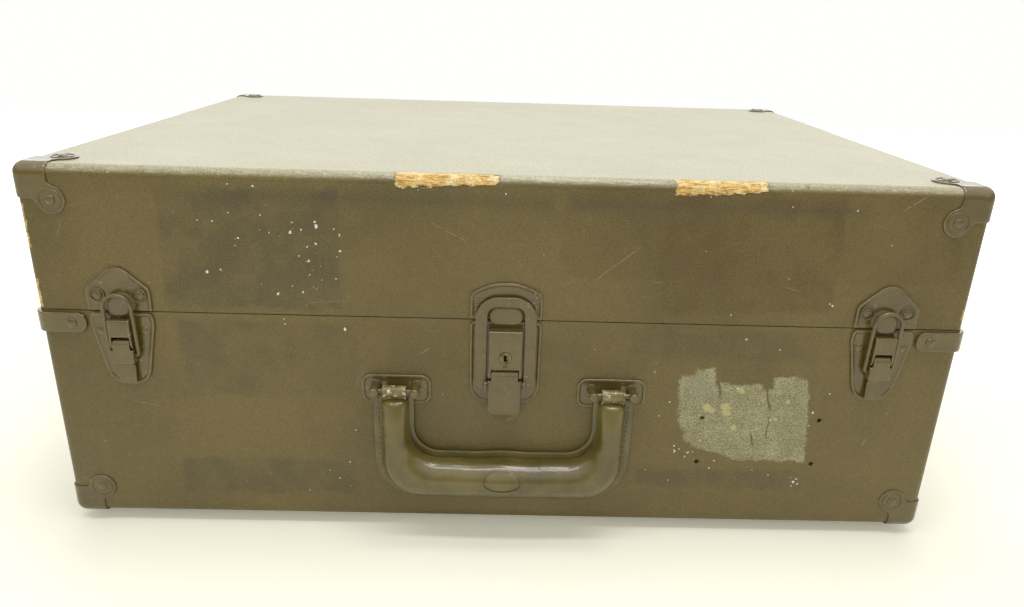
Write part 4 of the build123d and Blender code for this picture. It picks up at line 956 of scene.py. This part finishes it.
def makeGrip():
    stations = gripStations()
    form = bmesh.new()
    sweep(form, stations, 28, (0.0, 0.0))
    body = newPiece(form, "gripBody", gripPaint)
    gripSurface(body, 2)
    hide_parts("handle_grip")
    form = bmesh.new()
    sweep(form, stations, 16, (grip["flangeOut"], grip["flangeIn"]), grip["flangeHalf"])
    gripSurface(newPiece(form, "gripFlange", gripPaint), 1)
    # sewing along the flange's outer edge
    form = bmesh.new()
    travelled = 0.0
    before = None
    threadY = case["frontY"] - grip["back"] - 2.0 * grip["flangeHalf"] + grip["threadLift"]
    for x, z, innerX, innerZ, _ in fineStations(stations, 10):
        side = Vector((innerX - x, 0.0, innerZ - z)).normalized()
        place = Vector((x, threadY, z)) - side * grip["flangeOut"] * grip["stitchInset"]
        travelled += (place - before).length if before else 0.0
        before = place
        if travelled < grip["stitchEvery"]:
            continue
        travelled = 0.0
        lie = math.atan2(side.x, side.z)
        lay = Matrix.Translation(place) @ Matrix.Rotation(lie, 4, "Y")
        shape = lay @ Matrix.Diagonal((*grip["stitch"], 1.0))
        bmesh.ops.create_uvsphere(form, u_segments=8, v_segments=5, radius=1.0, matrix=shape)
    gripSurface(newPiece(form, "gripStitches", gripPaint), 1)
    # plain oval pad on the front with a low rim, laid on the bar's curve
    form = bmesh.new()
    crown = Matrix.Diagonal((*grip["padCrown"], 1.0))
    bmesh.ops.create_uvsphere(form, u_segments=32, v_segments=12, radius=1.0, matrix=crown)
    aside = Matrix.Translation((1.0, 0.0, 0.0))
    section = bmesh.ops.create_circle(form, segments=8, radius=0.06, matrix=aside)
    rim = section["verts"] + list({edge for vert in section["verts"] for edge in vert.link_edges})
    bmesh.ops.spin(
        form, geom=rim, cent=(0, 0, 0), axis=(0, 1, 0),
        angle=math.radians(360.0), steps=48, use_merge=True,
    )
    ringVerts = [vert for vert in form.verts if vert.co.length > 0.5]
    bmesh.ops.transform(form, matrix=Matrix.Diagonal((*grip["padRim"], 1.0)), verts=ringVerts)
    outZ, inZ = (bend[1] - bend[2] for bend in (grip["outerBend"], grip["innerBend"]))
    barDepth = grip["depths"][2] / (1.0 + grip["flat"])
    barY = case["frontY"] - grip["back"] - grip["skin"] - barDepth * grip["flat"]
    for vert in form.verts:
        z = grip["padZ"] + vert.co.z
        lean = (2.0 * z - outZ - inZ) / (inZ - outZ)
        vert.co = (vert.co.x, barY - barDepth * math.sqrt(max(0.0, 1.0 - lean * lean)) + vert.co.y, z)
    gripSurface(newPiece(form, "gripPad", gripPaint), 1)


makeGrip()


# Thick paint: the fittings' edges and inner corners filled and rounded by their coats
thickPaint = {"voxel": 0.00040, "smoothing": 10}


def softened(body, *names, voxel=None, smoothing=None, paint=None):
    for name in names:
        source = nodes[name]
        form = bmesh.new()
        form.from_mesh(source.data)
        bmesh.ops.remove_doubles(form, verts=form.verts, dist=0.000002)
        piece = newPiece(form, name + "Painted", paint or coatedPaint)
        remesh = piece.modifiers.new("coats", "REMESH")
        remesh.mode = "VOXEL"
        remesh.voxel_size = voxel or thickPaint["voxel"]
        remesh.use_smooth_shade = True
        smooth = piece.modifiers.new("flow", "SMOOTH")
        smooth.factor = 0.5
        smooth.iterations = smoothing or thickPaint["smoothing"]
        graph = bpy.context.evaluated_depsgraph_get()
        done = bpy.data.meshes.new_from_object(piece.evaluated_get(graph))
        piece.modifiers.clear()
        piece.data = done
        done.materials.clear()
        done.materials.append(paint or coatedPaint)
        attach(piece, body)
        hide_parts(name)


softened("lid", "latch_keeper_left", "latch_keeper_right", "lock_keeper", "lid_corner_caps")
softened("lid", "keeper_rivets", "lid_cap_rivets", smoothing=5)
softened("base", "latch_base_left", "latch_base_right", "lock_base", "base_corner_caps", "corner_straps")
softened("base", "handle_bracket_left", "handle_bracket_right", smoothing=5)
softened("base", "latch_rivets", "strap_rivets", "base_cap_rivets", smoothing=5)
softened("base", "lock_case", voxel=0.0003, smoothing=4, paint=lockCasePaint)
for moving in ("latch_lever_left", "latch_lever_right", "lock_lever"):
    softened(moving, moving, voxel=0.0003, smoothing=7)
softened("lock_link", "lock_link", voxel=0.0003, smoothing=5)
print("stage: fittings")


# Floor, light and camera
stage = {
    "floorTone": rgb(0.93, 0.92, 0.80),
    "floorPatches": rgb(0.86, 0.83, 0.68),
    "glowTone": rgb(1.0, 0.965, 0.74),
    "glow": 0.21,
    "white": rgb(1.0, 1.0, 0.985),
    "fade": (0.16, 0.55),  # y where the floor starts and ends its fade to white
    "halfSize": 3.0,
    "wallY": 1.9,
    "backdropTone": rgb(0.93, 0.93, 0.91),
    "ambient": 0.42,
    "ceiling": (("From Min", 0.15), ("From Max", 0.75), ("To Min", 0.30), ("To Max", 1.25)),
}


def stagePlane(f, surface, name, matrix):
    f.feed(f.tree.nodes["Material Output"].inputs["Surface"], surface.outputs[0])
    form = bmesh.new()
    bmesh.ops.create_grid(form, x_segments=1, y_segments=1, size=stage["halfSize"], matrix=matrix)
    mesh = bpy.data.meshes.new(name)
    form.to_mesh(mesh)
    form.free()
    plane = bpy.data.objects.new(name, mesh)
    bpy.context.scene.collection.objects.link(plane)
    mesh.materials.append(f.material)
    return plane


def makeFloor():
    f = Finish("floorFinish")
    worn = f.product(f.between(f.noise(4.0, 5.0, 0.6), 0.5, 0.75), 0.25)
    f.finish(f.blend(worn, stage["floorTone"], stage["floorPatches"]), 0.6)
    # pale to the camera, with the shadow kept, and fading to white behind
    path = f.add("ShaderNodeLightPath")
    far = f.between(f.y, *stage["fade"])
    glow = f.add("ShaderNodeEmission")
    f.feed(glow.inputs["Color"], f.blend(far, stage["glowTone"], stage["white"]))
    reach = f.math("ADD", f.product(far, 0.60), stage["glow"])
    f.feed(glow.inputs["Strength"], f.product(reach, path.outputs["Is Camera Ray"]))
    both = f.add("ShaderNodeAddShader")
    f.feed(both.inputs[0], f.shader.outputs[0])
    f.feed(both.inputs[1], glow.outputs[0])
    floor = stagePlane(f, both, "floor", Matrix.Identity(4))


lights = {
    "overheadLight": {"place": (0.05, 0.05, 1.5), "target": (0.0, 0.0, 0.1), "size": (0.9, 0.40), "power": 9.0},
    "edgeLight": {"place": (0.0, -0.50, 1.25), "target": (0.0, -0.2, 0.15), "size": (1.4, 0.10), "power": 4.5},
    "frontLight": {
        "place": (-0.3, -1.9, 1.0), "target": (0.0, 0.0, 0.1), "size": (1.6, 1.2), "power": 9.0,
        "reflected": False,
    },
    "backLight": {"place": (0.0, 1.25, 0.95), "target": (0.0, 0.0, 0.2), "size": (2.6, 0.7), "power": 7.0},
}


def areaLight(name, place, target, size, power, reflected=True):
    lamp = bpy.data.lights.new(name, "AREA")
    lamp.shape = "RECTANGLE"
    lamp.size, lamp.size_y = size
    lamp.energy = power
    holder = bpy.data.objects.new(name, lamp)
    holder.location = place
    holder.visible_glossy = reflected
    holder.rotation_euler = (Vector(target) - Vector(place)).to_track_quat("-Z", "Y").to_euler()
    bpy.context.scene.collection.objects.link(holder)


def makeBackdrop():
    f = Finish("backdropFinish")
    f.finish(stage["backdropTone"], 0.9)
    # white to the camera and in reflections, whatever light falls on it
    path = f.add("ShaderNodeLightPath")
    white = f.add("ShaderNodeEmission")
    white.inputs["Color"].default_value = stage["white"]
    choice = f.add("ShaderNodeMixShader")
    f.feed(choice.inputs[0], f.math("MAXIMUM", path.outputs["Is Camera Ray"], path.outputs["Is Glossy Ray"]))
    f.feed(choice.inputs[1], f.shader.outputs[0])
    f.feed(choice.inputs[2], white.outputs[0])
    behind = Matrix.Translation((0.0, stage["wallY"], stage["halfSize"]))
    wall = stagePlane(f, choice, "backdrop", behind @ quarterTurn)


makeFloor()
makeBackdrop()
for lightName, values in lights.items():
    areaLight(lightName, **values)


def makeWorld():
    # reflections see a bright ceiling over a dimmer room, the camera sees white
    world = bpy.data.worlds.new("studio")
    bpy.context.scene.world = world
    world.use_nodes = True
    tree = world.node_tree
    background = tree.nodes["Background"]
    path = tree.nodes.new("ShaderNodeLightPath")
    coordinates = tree.nodes.new("ShaderNodeTexCoord")
    split = tree.nodes.new("ShaderNodeSeparateXYZ")
    tree.links.new(coordinates.outputs["Generated"], split.inputs[0])
    ceiling = tree.nodes.new("ShaderNodeMapRange")
    ceiling.interpolation_type = "SMOOTHSTEP"
    tree.links.new(split.outputs[2], ceiling.inputs["Value"])
    for key, value in stage["ceiling"]:
        ceiling.inputs[key].default_value = value
    reflected = tree.nodes.new("ShaderNodeMix")
    tree.links.new(path.outputs["Is Glossy Ray"], reflected.inputs[0])
    reflected.inputs[2].default_value = stage["ambient"]
    tree.links.new(ceiling.outputs["Result"], reflected.inputs[3])
    power = tree.nodes.new("ShaderNodeMix")
    tree.links.new(path.outputs["Is Camera Ray"], power.inputs[0])
    tree.links.new(reflected.outputs[0], power.inputs[2])
    power.inputs[3].default_value = 1.0
    tree.links.new(power.outputs[0], background.inputs["Strength"])
    background.inputs["Color"].default_value = stage["white"]


makeWorld()

view = {
    "place": (-0.00576, -0.62417, 0.32115),
    "pitch": -20.475,
    "roll": -1.799,
    "yaw": -1.200,
    "lens": 26.928,
    "filmWidth": 36.0,
}
lens = bpy.data.cameras.new("photoCamera")
lens.sensor_fit = "HORIZONTAL"
lens.sensor_width = view["filmWidth"]
lens.lens = view["lens"]
camera = bpy.data.objects.new("photoCamera", lens)
bpy.context.scene.collection.objects.link(camera)
turn = (
    Matrix.Rotation(math.radians(view["yaw"]), 4, "Z")
    @ Matrix.Rotation(math.radians(view["pitch"]), 4, "X")
    @ Matrix.Rotation(math.radians(view["roll"]), 4, "Y")
    @ quarterTurn
)
camera.matrix_world = Matrix.Translation(view["place"]) @ turn
bpy.context.scene.camera = camera
bpy.context.scene.view_settings.view_transform = "Standard"
print("stage: light and camera")
